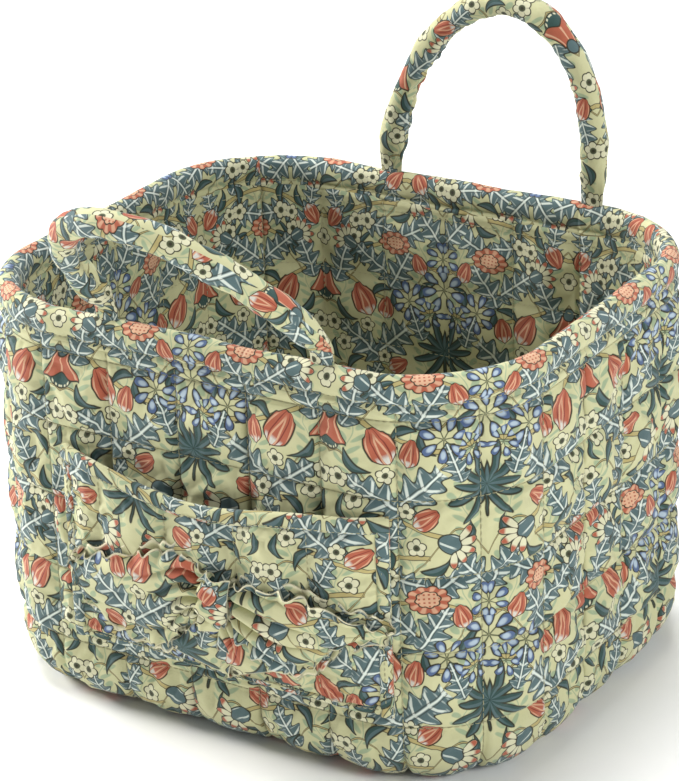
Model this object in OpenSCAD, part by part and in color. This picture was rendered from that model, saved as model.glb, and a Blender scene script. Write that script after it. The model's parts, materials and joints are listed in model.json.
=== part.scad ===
// Quilted fabric storage bin: one padded wall wrapped round a rounded rectangle, a padded base,
// a patch pocket with a sewn bow on the front (-Y) face, and two stuffed carry handles on the rim.
// Origin: middle of the underside. +X along the front face, -Y out of the pocket face, +Z up.

/* [Body] */
// Outside width along X
body_w = 390; // [380:5:440]
// Outside depth along Y
body_d = 330; // [300:5:380]
// Height to the crest of the rim
body_h = 275; // [255:5:310]
// Outside radius of the upright corners
corner_r = 90; // [70:5:95]
// Radius of the soft bottom edge
bottom_r = 34; // [26:2:40]

/* [Padding] */
// Thickness of each fabric layer
fabric_t = 1.2; // [0.8:0.1:1.6]
// Thickness of the padded wall between rim and base
wall_t = 12; // [10:0.5:14]
// Thickness of the hem fabric folded over the rim
hem_t = 1; // [0.8:0.1:1.2]
// Depth of the folded rim hem
hem_depth = 20; // [16:1:24]
// Thickness of the stiff board inside the base
board_t = 2; // [1.5:0.5:3]

/* [Quilting] */
// Number of upright stitch lines round the wall
quilt_columns = 25; // [20:1:30]
// Spacing of the level stitch lines
quilt_pitch = 50.8; // [44:0.2:52]
// Drop from the rim to the first level stitch line
first_row_drop = 28; // [26:1:36]
// Thread height above the cloth
thread_t = 0.6; // [0.4:0.1:0.8]

/* [Pocket] */
// Pocket width
pocket_w = 236; // [200:2:244]
// Height of the pocket's lower edge
pocket_z = 54; // [48:1:60]
// Pocket height
pocket_h = 134; // [120:1:150]
// How far the mouth stands away from the wall
pocket_gape = 14; // [8:1:18]
// Sideways place of the pocket's middle
pocket_x = 16; // [-16:1:18]

/* [Handles] */
// Distance between the feet of a handle, middle to middle
handle_span = 156; // [140:2:160]
// Rise of the front handle's centre line above its feet
front_handle_rise = 107; // [96:1:125]
// Rise of the back handle's centre line above its feet
back_handle_rise = 120; // [100:1:140]
// Handle diameter
handle_d = 18; // [15:1:20]
// Lean of the front handle away from the bin
front_lean = 40; // [0:1:60]
// Sideways place of the front handle's middle
front_handle_x = 10; // [-15:1:15]
// Sideways place of the back handle's middle
back_handle_x = 22; // [-22:1:22]

/* [Hidden] */
$fn = 48;

print_light = [0.80, 0.79, 0.60];
print_teal = [0.36, 0.50, 0.52];
print_shade = [0.66, 0.66, 0.47];
padding_white = [0.93, 0.93, 0.90];
board_brown = [0.62, 0.50, 0.36];
thread_pale = [0.86, 0.84, 0.68];

// Wall layers, as depths in from the outside face
outer_in = hem_t;
batting_in = outer_in + fabric_t;
lining_in = outer_in + wall_t - fabric_t;
inner_in = outer_in + wall_t;
rim_t = wall_t + 2 * hem_t;
rim_round = rim_t / 2;
roll_z = body_h - rim_round;
bend_in = bottom_r;
thread_w = 0.8;
column_shift = 13.6;
lowest_row = 4;
rim_stitch_up = 3;
base_seam_in = 1;
base_quilt_in = 4;

// Handle feet: the centre of each rounded tube end, and the tab that holds it in the rim
gap = 0.3;
foot_gap = 1.5;
tube_r = handle_d / 2;
foot_y = body_d / 2 - rim_round;
foot_z = body_h + foot_gap + tube_r;
tab_w = 16;
tab_t = 2.4;
tab_deep = 22;
core_r = tube_r - 0.8;
seam_r = 0.5;
seam_clear = 0.25;
front_shape = [-19, front_handle_rise];
back_shape = [16, back_handle_rise];

// Pocket and bow
pocket_gap = thread_t + gap;
pocket_pad = 2.5;
pocket_cloth = 1;
pocket_t = pocket_pad + 2 * pocket_cloth;
thread_near = pocket_t + gap / 2;
thread_far = thread_near + thread_t;
mouth_hem = 12;
edge_w = 8;
bow_cloth = 1.5;
bow_x = pocket_x + 6;
bow_z = pocket_z + 58;

// ---- Shapes carried round the rounded rectangle ----

// Carries a profile round the body: profile x is the depth in from the outside, profile y is the height
module around() {
    corner_x = body_w / 2 - corner_r;
    corner_y = body_d / 2 - corner_r;
    for (turn = [0, 180]) rotate([0, 0, turn]) {
        translate([0, -body_d / 2, 0]) rotate([90, 0, 90])
            linear_extrude(2 * corner_x, center = true) children();
        rotate([0, 0, 90]) translate([0, -body_w / 2, 0]) rotate([90, 0, 90])
            linear_extrude(2 * corner_y, center = true) children();
        translate([corner_x, corner_y, 0]) rotate_extrude(angle = 90)
            translate([corner_r, 0]) mirror([1, 0]) children();
        translate([-corner_x, corner_y, 0]) rotate([0, 0, 90]) rotate_extrude(angle = 90)
            translate([corner_r, 0]) mirror([1, 0]) children();
    }
}

// Wall profile between two depths, bent inwards at the bottom, up to height top
module wall_profile(near, far, top) {
    translate([near, bottom_r]) square([far - near, top - bottom_r]);
    translate([bend_in, bottom_r]) intersection() {
        difference() {
            circle(bend_in - near);
            circle(bend_in - far);
        }
        translate([-bend_in, -bottom_r]) square([bend_in, bottom_r]);
    }
}

// Rounded rectangle at a depth in from the outside
module plan(depth) {
    w = body_w - 2 * corner_r;
    d = body_d - 2 * corner_r;
    square([body_w - 2 * depth, d], center = true);
    square([w, body_d - 2 * depth], center = true);
    for (sx = [-1, 1], sy = [-1, 1]) translate([sx * w / 2, sy * d / 2]) circle(corner_r - depth);
}

// Base slab from height low to height high, inside the bent wall
module base_slab(low, high) {
    translate([0, 0, low]) linear_extrude(high - low) plan(bend_in);
}

// ---- Places on the wall ----

side_len = body_d - 2 * corner_r;
front_len = body_w - 2 * corner_r;
corner_len = PI * corner_r / 2;
girth = 2 * side_len + 2 * front_len + 4 * corner_len;

// Straight and curved stretches of the wall, counted from the middle of the front face towards +X
function stretch(s, n = 0) =
    let (len = n == 0 ? front_len / 2 : n % 2 == 1 ? corner_len : n % 4 == 2 ? side_len : front_len)
    s <= len || n > 7 ? [n, s, len] : stretch(s - len, n + 1);

// Puts children at the distance s round the wall, with their -Y side facing outwards
module on_wall(s, depth) {
    at = stretch((s % girth + girth) % girth);
    n = at[0];
    turn = 90 * floor((n + 1) / 2);
    long = n % 4 == 2 ? side_len : front_len;
    reach = n % 4 == 2 ? body_w / 2 : body_d / 2;
    cx = body_w / 2 - corner_r;
    cy = body_d / 2 - corner_r;
    if (n % 2 == 0)
        rotate([0, 0, turn]) translate([at[1] - (n == 0 ? 0 : long / 2), depth - reach, 0]) children();
    else {
        quarter = (n - 1) / 2;
        centre = [[cx, -cy], [cx, cy], [-cx, cy], [-cx, -cy]][quarter];
        translate([centre[0], centre[1], 0]) rotate([0, 0, 90 * quarter + at[1] / corner_r * 180 / PI])
            translate([0, depth - corner_r, 0]) children();
    }
}

// Distance of quilt column n from the middle of the front face
function column_s(n) = front_len / 2 + corner_len / 2 + column_shift + n * girth / quilt_columns;
row_tops = [for (z = body_h - first_row_drop; z > bottom_r + lowest_row; z = z - quilt_pitch) z];

// ---- Body ----

module wall_outer_fabric() {
    color(print_light) around() wall_profile(outer_in, batting_in, roll_z);
}

module tab_slots() {
    for (side = [[-1, front_handle_x], [1, back_handle_x]], foot = [-1, 1])
        translate([side[1] + foot * handle_span / 2 - tab_w / 2, side[0] * foot_y - tab_t / 2,
                   body_h - tab_deep])
            cube([tab_w, tab_t, tab_deep + 10]);
}

module wall_batting() {
    color(padding_white) difference() {
        around() {
            wall_profile(batting_in, lining_in, roll_z);
            translate([rim_round, roll_z]) intersection() {
                circle(rim_round - hem_t);
                translate([-rim_round, 0]) square([rim_t, rim_t]);
            }
        }
        tab_slots();
    }
}

module wall_lining() {
    color(print_light) around() wall_profile(lining_in, inner_in, roll_z);
}

// Runs up the back, broken where the level stitch lines cross it
module wall_join_thread() {
    color(thread_pale) on_wall(girth / 2, outer_in) difference() {
        translate([-thread_w / 2, -thread_t, bottom_r])
            cube([thread_w, thread_t, roll_z - hem_depth - bottom_r]);
        for (z = row_tops) translate([-thread_w, -2 * thread_t, z - thread_w / 2 - gap])
            cube([2 * thread_w, 3 * thread_t, thread_w + 2 * gap]);
    }
}

// Level rings and upright lines of thread on one face of the wall
module quilt_thread(face, proud) {
    near = min(face, face + proud);
    for (z = row_tops) around() translate([near, z - thread_w / 2]) square([thread_t, thread_w]);
    for (n = [0 : quilt_columns - 1]) on_wall(column_s(n), near)
        translate([-thread_w / 2, 0, bottom_r])
            cube([thread_w, thread_t, body_h - hem_depth - gap - bottom_r]);
}

module wall_quilt_thread_outer() {
    color(thread_pale) quilt_thread(outer_in, -thread_t);
}

module wall_quilt_thread_inner() {
    color(thread_pale) quilt_thread(inner_in, thread_t);
}

module rim_hem() {
    color(print_teal) difference() {
        around() {
            for (near = [0, rim_t - hem_t])
                translate([near, body_h - hem_depth]) square([hem_t, roll_z - body_h + hem_depth]);
            translate([rim_round, roll_z]) intersection() {
                difference() {
                    circle(rim_round);
                    circle(rim_round - hem_t);
                }
                translate([-rim_t, 0]) square([2 * rim_t, rim_t]);
            }
        }
        tab_slots();
    }
}

module rim_topstitch_thread() {
    color(thread_pale) around() for (near = [-thread_t, rim_t])
        translate([near, body_h - hem_depth + rim_stitch_up]) square([thread_t, thread_w]);
}

// ---- Base ----

base_top = hem_t + wall_t;
board_z = base_top - fabric_t - board_t;

module base_outer_fabric() {
    color(print_light) base_slab(0, hem_t + fabric_t);
}

module base_batting() {
    color(padding_white) base_slab(hem_t + fabric_t, board_z);
}

module base_stiffener() {
    color(board_brown) base_slab(board_z, board_z + board_t);
}

module base_lining() {
    color(print_light) base_slab(board_z + board_t, base_top);
}

module base_quilt_thread() {
    columns = floor((body_w / 2 - bend_in) / quilt_pitch);
    rows = floor((body_d / 2 - bend_in) / quilt_pitch);
    color(thread_pale) translate([0, 0, base_top]) linear_extrude(thread_t) intersection() {
        plan(bend_in + base_quilt_in);
        union() {
            for (n = [-columns : columns]) translate([n * quilt_pitch - thread_w / 2, -body_d / 2])
                square([thread_w, body_d]);
            for (n = [-rows : rows]) translate([-body_w / 2, n * quilt_pitch - thread_w / 2])
                square([body_w, thread_w]);
        }
    }
}

module base_seam_thread() {
    color(thread_pale) translate([0, 0, base_top]) linear_extrude(thread_t) difference() {
        plan(bend_in + base_seam_in);
        plan(bend_in + base_seam_in + thread_w);
    }
}

// ---- Pocket: patches of the curved panel between heights and sideways places ----

pocket_left = pocket_x - pocket_w / 2;
pocket_right = pocket_x + pocket_w / 2;
pocket_top = pocket_z + pocket_h;

// Y of the wall's outside face at x
function wall_y(x) =
    let (past = abs(x) - front_len / 2, r = corner_r - hem_t)
    past <= 0 ? hem_t - body_d / 2 : corner_r - body_d / 2 - sqrt(r * r - past * past);

// How far the panel bellies away from the wall: nothing at the sides and bottom, most at the mouth
function belly(x, z) =
    let (u = (x - pocket_x) / (pocket_w / 2), v = (z - pocket_z) / pocket_h)
    pocket_gape * max(0, 1 - pow(u, 4)) * (1 - pow(1 - v, 2));

function panel_y(x, z, out) = wall_y(x) - pocket_gap - belly(x, z) - out;

// Closed solid over a grid of places: near and far hold its two faces, counted nx by nz cells
module shell_grid(near, far, nx, nz) {
    row = nx + 1;
    size = row * (nz + 1);
    function id(i, j, s) = s * size + j * row + i;
    faces = [
        for (i = [0 : nx - 1], j = [0 : nz - 1]) each [
            [id(i, j, 0), id(i, j + 1, 0), id(i + 1, j + 1, 0)],
            [id(i, j, 0), id(i + 1, j + 1, 0), id(i + 1, j, 0)],
            [id(i, j, 1), id(i + 1, j + 1, 1), id(i, j + 1, 1)],
            [id(i, j, 1), id(i + 1, j, 1), id(i + 1, j + 1, 1)]],
        for (i = [0 : nx - 1]) each [
            [id(i, 0, 0), id(i + 1, 0, 0), id(i + 1, 0, 1)],
            [id(i, 0, 0), id(i + 1, 0, 1), id(i, 0, 1)],
            [id(i, nz, 0), id(i + 1, nz, 1), id(i + 1, nz, 0)],
            [id(i, nz, 0), id(i, nz, 1), id(i + 1, nz, 1)]],
        for (j = [0 : nz - 1]) each [
            [id(0, j, 0), id(0, j + 1, 1), id(0, j + 1, 0)],
            [id(0, j, 0), id(0, j, 1), id(0, j + 1, 1)],
            [id(nx, j, 0), id(nx, j + 1, 0), id(nx, j + 1, 1)],
            [id(nx, j, 0), id(nx, j + 1, 1), id(nx, j, 1)]]];
    polyhedron(points = concat(near, far), faces = faces);
}

// Patch of the panel between two heights and two sideways places, from depth in to depth out
module panel_patch(x0, x1, z0, z1, in, out, nx = 1, nz = 1) {
    function at(i, j, depth) =
        let (x = x0 + (x1 - x0) * i / nx, z = z0 + (z1 - z0) * j / nz) [x, panel_y(x, z, depth), z];
    shell_grid([for (j = [0 : nz], i = [0 : nx]) at(i, j, in)],
               [for (j = [0 : nz], i = [0 : nx]) at(i, j, out)], nx, nz);
}

module panel_layer(in, out) {
    panel_patch(pocket_left + edge_w, pocket_right - edge_w, pocket_z + edge_w,
                pocket_top - mouth_hem, in, out, 16, 7);
}

module pocket_outer_fabric() {
    color(print_light) panel_layer(pocket_t - pocket_cloth, pocket_t);
}

module pocket_batting() {
    color(padding_white) panel_layer(pocket_cloth, pocket_t - pocket_cloth);
}

module pocket_lining() {
    color(print_shade) panel_layer(0, pocket_cloth);
}

module pocket_mouth_hem() {
    color(print_teal) panel_patch(pocket_left + edge_w, pocket_right - edge_w, pocket_top - mouth_hem,
                                  pocket_top, 0, pocket_t, 16, 2);
}

module pocket_left_edge() {
    color(print_shade)
        panel_patch(pocket_left, pocket_left + edge_w, pocket_z, pocket_top, 0, pocket_t, 2, 8);
}

module pocket_right_edge() {
    color(print_shade)
        panel_patch(pocket_right - edge_w, pocket_right, pocket_z, pocket_top, 0, pocket_t, 2, 8);
}

module pocket_bottom_edge() {
    color(print_shade) panel_patch(pocket_left + edge_w, pocket_right - edge_w, pocket_z,
                                   pocket_z + edge_w, 0, pocket_t, 16, 1);
}

// The wall's quilt columns carried on over the pocket
module pocket_quilt_thread() {
    color(thread_pale) for (n = [-quilt_columns : 0]) {
        x = column_s(n);
        if (x > pocket_left + edge_w && x < pocket_right - edge_w)
            panel_patch(x - thread_w / 2, x + thread_w / 2, pocket_z + edge_w + 1,
                        pocket_top - mouth_hem - 1, thread_near, thread_far, 1, 7);
    }
}

module pocket_hem_thread() {
    z = pocket_top - mouth_hem + 2;
    color(thread_pale) panel_patch(pocket_left + edge_w, pocket_right - edge_w, z, z + thread_w,
                                   thread_near, thread_far, 16, 1);
}

module pocket_attach_thread() {
    side = edge_w / 2;
    z = pocket_z + side;
    color(thread_pale) {
        for (x = [pocket_left + side, pocket_right - side])
            panel_patch(x, x + thread_w, z + thread_w, pocket_top - 1, thread_near, thread_far, 1, 8);
        panel_patch(pocket_left + side, pocket_right - side + thread_w, z, z + thread_w,
                    thread_near, thread_far, 16, 1);
    }
}

// ---- Bow: puffed cloth pieces sewn on the pocket, each a four-cornered patch that puffs by puff ----

// Corner order: inner low, inner high, outer low, outer high, as [x, z] from the middle of the knot
module bow_piece(corners, puff, nx = 8, nz = 6) {
    function mix(a, b, t) = a + (b - a) * t;
    function place(u, v) = mix(mix(corners[0], corners[1], v), mix(corners[2], corners[3], v), u);
    function at(u, v, out) =
        let (p = place(u, v), x = bow_x + p[0], z = bow_z + p[1])
        [x, panel_y(x, z, thread_far + gap + out), z];
    lift = function (u, v) bow_cloth + puff * sin(180 * u) * sin(180 * v);
    shell_grid([for (j = [0 : nz], i = [0 : nx]) at(i / nx, j / nz, 0)],
               [for (j = [0 : nz], i = [0 : nx]) at(i / nx, j / nz, lift(i / nx, j / nz))], nx, nz);
}

module bow_left_loop() {
    color(print_teal) bow_piece([[-9, 22], [-9, -18], [-114, 6], [-98, -40]], 9);
}

module bow_right_loop() {
    color(print_teal) bow_piece([[9, -16], [9, 20], [84, -26], [98, 8]], 9);
}

module bow_left_tail() {
    color(print_shade) bow_piece([[-40, -48], [-8, -21], [-3, -50], [0, -21]], 5, 5, 5);
}

module bow_right_tail() {
    color(print_shade) bow_piece([[4, -50], [1, -21], [46, -46], [9, -21]], 5, 5, 5);
}

module bow_knot() {
    color(print_light) bow_piece([[-8.7, -20], [-8.7, 23], [8.7, -20], [8.7, 23]], 9, 6, 6);
}

// ---- Handles ----

// Centre line of a handle above its own feet, in its own plane, for an angle from 0 to 180.
// A shape is how far the crest sits to one side, and how high it is.
function arch(a, shape) =
    [-handle_span / 2 * cos(a) + shape[0] * sin(a), 0, shape[1] * sin(a)];

// Distances past each foot's centre and matching radii, which round off the end of a tube
end_steps = [0.95, 0.75, 0.45];

// Tube rings: points on the arch with their radii, with rounded ends centred on the feet
function arch_rings(r, shape, steps) = concat(
    [for (e = end_steps) [arch(0, shape) - [0, 0, r * e], r * sqrt(1 - e * e), 0]],
    [for (k = [0 : steps]) [arch(180 * k / steps, shape), r, 180 * k / steps]],
    [for (k = [2 : -1 : 0])
        let (e = end_steps[k]) [arch(180, shape) - [0, 0, r * e], r * sqrt(1 - e * e), 180]]);

// Direction of the arch at angle a
function arch_heading(a, shape) =
    let (d = [handle_span / 2 * sin(a) + shape[0] * cos(a), shape[1] * cos(a)]) atan2(d[0], d[1]);

module arch_tube(r, shape, steps = 22, sides = 12) {
    rings = arch_rings(r, shape, steps);
    count = len(rings);
    points = [for (ring = rings, k = [0 : sides - 1])
        let (lean = ring[2] == 0 ? 0 : ring[2] == 180 ? 180 : arch_heading(ring[2], shape),
             a = 360 * k / sides, side = ring[1] * cos(a), deep = ring[1] * sin(a))
        ring[0] + [side * cos(lean), deep, -side * sin(lean)]];
    faces = concat(
        [[for (k = [0 : sides - 1]) k]],
        [for (j = [0 : count - 2], k = [0 : sides - 1])
            let (a = j * sides + k, b = j * sides + (k + 1) % sides)
            each [[a, a + sides, b + sides], [a, b + sides, b]]],
        [[for (k = [sides - 1 : -1 : 0]) (count - 1) * sides + k]]);
    polyhedron(points = points, faces = faces);
}

module at_front() {
    translate([front_handle_x, -foot_y, foot_z]) rotate([front_lean, 0, 0]) children();
}

module at_back() {
    translate([back_handle_x, foot_y, foot_z]) children();
}

module handle_tabs(x, y) {
    for (foot = [-1, 1]) translate([x + foot * handle_span / 2 - tab_w / 2, y - tab_t / 2, body_h - tab_deep])
        cube([tab_w, tab_t, tab_deep]);
}

// Closing seam along the inside of the arch
module handle_seam(shape) {
    turn = 14;
    steps = 14;
    sides = 8;
    spots = [for (k = [0 : steps]) let (a = turn + (180 - 2 * turn) * k / steps) [arch(a, shape), a]];
    points = [for (s = spots, k = [0 : sides - 1])
        let (lean = arch_heading(s[1], shape), a = 360 * k / sides,
             side = tube_r + seam_clear + seam_r * (1 + cos(a)), deep = seam_r * sin(a))
        s[0] + [side * cos(lean), deep, -side * sin(lean)]];
    faces = concat(
        [[for (k = [0 : sides - 1]) k]],
        [for (j = [0 : steps - 1], k = [0 : sides - 1])
            let (a = j * sides + k, b = j * sides + (k + 1) % sides)
            each [[a, a + sides, b + sides], [a, b + sides, b]]],
        [[for (k = [sides - 1 : -1 : 0]) steps * sides + k]]);
    polyhedron(points = points, faces = faces);
}

module handle_cover(shape) {
    difference() {
        arch_tube(tube_r, shape);
        arch_tube(core_r, shape);
    }
}

module front_handle_tabs() {
    color(print_shade) handle_tabs(front_handle_x, -foot_y);
}

module front_handle_cover() {
    color(print_light) at_front() handle_cover(front_shape);
}

module front_handle_core() {
    color(padding_white) at_front() arch_tube(core_r, front_shape);
}

module front_handle_seam_thread() {
    color(thread_pale) at_front() handle_seam(front_shape);
}

module back_handle_tabs() {
    color(print_shade) handle_tabs(back_handle_x, foot_y);
}

module back_handle_cover() {
    color(print_light) at_back() handle_cover(back_shape);
}

module back_handle_core() {
    color(padding_white) at_back() arch_tube(core_r, back_shape);
}

module back_handle_seam_thread() {
    color(thread_pale) at_back() handle_seam(back_shape);
}

wall_outer_fabric();
wall_batting();
wall_lining();
wall_join_thread();
wall_quilt_thread_outer();
wall_quilt_thread_inner();
rim_hem();
rim_topstitch_thread();
base_outer_fabric();
base_batting();
base_stiffener();
base_lining();
base_quilt_thread();
base_seam_thread();
pocket_outer_fabric();
pocket_batting();
pocket_lining();
pocket_mouth_hem();
pocket_left_edge();
pocket_right_edge();
pocket_bottom_edge();
pocket_quilt_thread();
pocket_hem_thread();
pocket_attach_thread();
bow_left_loop();
bow_right_loop();
bow_left_tail();
bow_right_tail();
bow_knot();
front_handle_tabs();
front_handle_cover();
front_handle_core();
front_handle_seam_thread();
back_handle_tabs();
back_handle_cover();
back_handle_core();
back_handle_seam_thread();
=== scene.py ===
"""Looks of a quilted fabric storage basket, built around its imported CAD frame.

Shape code works in millimetres along the frame's own axes, and add_piece() turns them into metres.
"""
import json
import math

import bpy
import numpy as np
from mathutils import Matrix, Vector


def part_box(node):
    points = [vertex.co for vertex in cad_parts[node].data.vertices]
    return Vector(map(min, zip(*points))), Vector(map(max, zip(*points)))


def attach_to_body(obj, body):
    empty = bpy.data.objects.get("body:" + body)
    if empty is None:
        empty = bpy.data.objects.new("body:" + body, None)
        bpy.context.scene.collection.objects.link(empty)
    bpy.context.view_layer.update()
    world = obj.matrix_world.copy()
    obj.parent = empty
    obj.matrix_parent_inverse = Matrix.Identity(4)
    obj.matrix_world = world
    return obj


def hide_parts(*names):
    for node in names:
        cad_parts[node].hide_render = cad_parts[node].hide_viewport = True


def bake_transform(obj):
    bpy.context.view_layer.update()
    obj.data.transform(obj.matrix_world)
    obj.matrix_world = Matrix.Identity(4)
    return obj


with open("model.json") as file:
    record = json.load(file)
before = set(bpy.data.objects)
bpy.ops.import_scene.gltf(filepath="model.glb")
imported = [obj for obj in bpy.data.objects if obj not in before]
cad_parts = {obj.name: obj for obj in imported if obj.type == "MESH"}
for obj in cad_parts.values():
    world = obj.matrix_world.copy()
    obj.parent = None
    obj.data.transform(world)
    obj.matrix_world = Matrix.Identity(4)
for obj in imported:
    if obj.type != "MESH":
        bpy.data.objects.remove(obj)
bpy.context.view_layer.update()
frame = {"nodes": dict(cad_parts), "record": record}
MM = 0.001


def cad_box(node):
    """Lowest and highest corner of a CAD node, in mm."""
    low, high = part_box(node)
    return np.array(low) / MM, np.array(high) / MM


# ---- Sizes, in mm ----

HALF_W, HALF_D, TOP = cad_box("rim_hem")[1]
MIDDLE = Vector((0.0, 0.0, TOP * MM / 2))  # of the body, in metres, where the camera and the lights aim
CORNER_R = 90.0                  # of the basket's plan
BEND_R = 34.0                    # of the bottom edge
STITCH_DEPTH = 2.2               # how deep a seam pulls the cloth in from the widest line
LINING_DEPTH = 12.4              # the same for the lining, from the same line
PUFF = 5.2                       # how far a quilted square swells from its seams
LINING_PUFF = 3.4
LINING_SHIFT = 7                 # columns that the lining's creases are moved on from the outside's
PAD_INSET = 1.6                  # between the padding and the middle of the cloth over it
SEAM_GROOVE = 1.1                # how much further in the thread itself cuts
CLOTH = 0.9                      # cloth thickness
LEAST_Z = 0.25                   # the wall's bend rests this far above the floor
FRONT = 2 * (HALF_W - CORNER_R)  # straight stretch of the front
SIDE = 2 * (HALF_D - CORNER_R)
CORNER = CORNER_R * math.pi / 2
GIRTH = 2 * (FRONT + SIDE) + 4 * CORNER
COLUMNS = 25
PITCH = GIRTH / COLUMNS
JOIN_COLUMN = 12                 # number of the quilt column that the wall's ends are joined at, behind
COLUMN_SHIFT = 13.6              # from the middle of a front corner to its nearest column
FIRST_COLUMN = FRONT / 2 + CORNER / 2 + COLUMN_SHIFT + (JOIN_COLUMN - COLUMNS) * PITCH
ROW_PITCH = 50.8
ROWS = 5
TOP_ROW = TOP - 28.0
LOW_ROW = TOP_ROW - ROW_PITCH * (ROWS - 1)
STEPS = 12                       # simulated points across a quilted square
PANELS = 5                       # pieces the wall is built in, split along seams
WALL_TOP = TOP_ROW + 10.0        # where the wall ends inside the rim roll
WALL_END = BEND_R * (1 - math.pi / 2)


# ---- Arithmetic for shapes ----

def smooth(x, low, high):
    """0 below low, 1 above high, and a smooth rise between."""
    t = np.clip((np.asarray(x, float) - low) / (high - low), 0, 1)
    return t * t * (3 - 2 * t)


NOISE_TABLE = 512
UP = (0.0, 0.0, 1.0)


def noise(x, y, size, seed, period=None):
    """Smooth random numbers from -1 to 1 over x and y, with bumps about size across. Where a period is
    given, they repeat along x after it."""
    table = np.random.default_rng(seed).uniform(-1, 1, (NOISE_TABLE, NOISE_TABLE))
    if period:
        size_x, wrap = period / round(period / size), round(period / size)
    else:
        size_x, wrap = size, NOISE_TABLE
    x, y = np.broadcast_arrays(np.asarray(x, float) / size_x, np.asarray(y, float) / size)
    i, j = np.floor(x).astype(int), np.floor(y).astype(int)
    fx, fy = smooth(x - i, 0, 1), smooth(y - j, 0, 1)
    i, next_i = np.mod(i, wrap), np.mod(i + 1, wrap)
    j, next_j = np.mod(j, NOISE_TABLE), np.mod(j + 1, NOISE_TABLE)
    low = table[i, j] * (1 - fx) + table[next_i, j] * fx
    high = table[i, next_j] * (1 - fx) + table[next_i, next_j] * fx
    return low * (1 - fy) + high * fy


def hump(x, width):
    """1 where x is 0, falling towards 0 over a width either way."""
    return np.exp(-(x / width) ** 2)


def swelling(x, width):
    """0 where x is 0, as on a seam, rising towards 1 over a width."""
    return 1 - np.exp(-x / width)


def signed_power(x, exponent):
    """x to a power with its sign kept, which squares off the section of a tube."""
    return np.sign(x) * np.abs(x) ** exponent


def unit(v):
    """Directions made 1 long."""
    return v / np.maximum(np.linalg.norm(v, axis=-1, keepdims=True), 1e-9)


def parted(v, way):
    """How far v goes along a direction, and the rest of it."""
    along = np.sum(v * way, -1)
    return along, v - along[..., None] * way


def distance_along(path):
    """Distance of each point of a path from its start."""
    return np.concatenate([[0.0], np.cumsum(np.linalg.norm(np.diff(path, axis=0), axis=1))])


def places_at(at, way, points):
    """Points, or directions, at some distances along a path, given them at the distances way."""
    return np.stack([np.interp(at, way, points[:, k]) for k in range(3)], -1)


def pairs(a, b):
    """A grid of each a with each b."""
    return np.stack(np.meshgrid(a, b, indexing="ij"), -1)


def curve_through(points, count):
    """A smooth curve of count points through the given ones."""
    points = np.asarray(points, float)
    ends = np.vstack([2 * points[0] - points[1], points, 2 * points[-1] - points[-2]])
    at = np.linspace(0, len(points) - 1 - 1e-9, count)
    k = at.astype(int)
    t = (at - k)[:, None]
    a, b, c, d = ends[k], ends[k + 1], ends[k + 2], ends[k + 3]
    squares = (2 * a - 5 * b + 4 * c - d) * t ** 2
    cubes = (3 * b - a - 3 * c + d) * t ** 3
    return (2 * b + (c - a) * t + squares + cubes) / 2


def finer(grid, wrap):
    """A grid of points with one more between each two, both ways, on a smooth curve."""
    for axis in (0, 1):
        g = np.moveaxis(grid, axis, 0)
        if axis == 0 and wrap:
            before, after, last = np.roll(g, 1, 0), np.roll(g, -2, 0), np.roll(g, -1, 0)
            mid = (9 * (g + last) - before - after) / 16
            out = np.stack([g, mid], 1).reshape(-1, *g.shape[1:])
        else:
            ends = np.concatenate([2 * g[:1] - g[1:2], g, 2 * g[-1:] - g[-2:-1]])
            mid = (9 * (ends[1:-2] + ends[2:-1]) - ends[:-3] - ends[3:]) / 16
            out = np.concatenate([np.stack([g[:-1], mid], 1).reshape(-1, *g.shape[1:]), g[-1:]])
        grid = np.moveaxis(out, 0, axis)
    return grid


# ---- Where the wall lies ----

CORNERS = np.array([(-1, -1), (1, -1), (1, 1), (-1, 1)]) * (HALF_W - CORNER_R, HALF_D - CORNER_R)
SIDES = np.array([FRONT, SIDE, FRONT, SIDE])
STARTS = np.concatenate([[0.0], np.cumsum(SIDES + CORNER)[:3]])


def outline(s, inset):
    """Points of the plan, s along it from the middle of the front, and the directions out of it."""
    t = np.mod(s + FRONT / 2, GIRTH)
    k = np.searchsorted(STARTS, t, side="right") - 1
    t = t - STARTS[k]
    heading = k * math.pi / 2
    turn = heading - math.pi / 2 + np.maximum(t - SIDES[k], 0) / CORNER_R
    out = np.stack([np.cos(turn), np.sin(turn)], -1)
    way = np.stack([np.cos(heading), np.sin(heading)], -1)
    along = np.minimum(t, SIDES[k])
    return CORNERS[k] + way * along[..., None] + out * (CORNER_R - inset)[..., None], out


def wall_place(s, h, depth):
    """Points of the wall at s round it and h up it, and the directions out of it.
    Under BEND_R, h runs round the bottom bend, down to WALL_END."""
    s, h, depth = (np.array(a, float) for a in np.broadcast_arrays(s, h, depth))
    bend = np.clip((BEND_R - h) / BEND_R, 0, math.pi / 2)
    reach = BEND_R - depth
    xy, out = outline(s, BEND_R - reach * np.cos(bend))
    z = np.maximum(h, BEND_R) - reach * np.sin(bend)
    direction = np.concatenate([out * np.cos(bend)[..., None], -np.sin(bend)[..., None]], -1)
    return np.concatenate([xy, z[..., None]], -1), direction


def edge_distance(x, first, pitch, count=None):
    """Distance from x to the nearest of the seams at first, first + pitch, and so on."""
    n = np.round((x - first) / pitch)
    if count is not None:
        n = np.clip(n, 0, count - 1)
    return np.abs(x - first - n * pitch)


# ---- Building pieces ----

def add_object(name, data):
    """A new object in the scene."""
    obj = bpy.data.objects.new(name, data)
    bpy.context.scene.collection.objects.link(obj)
    return obj


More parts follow.
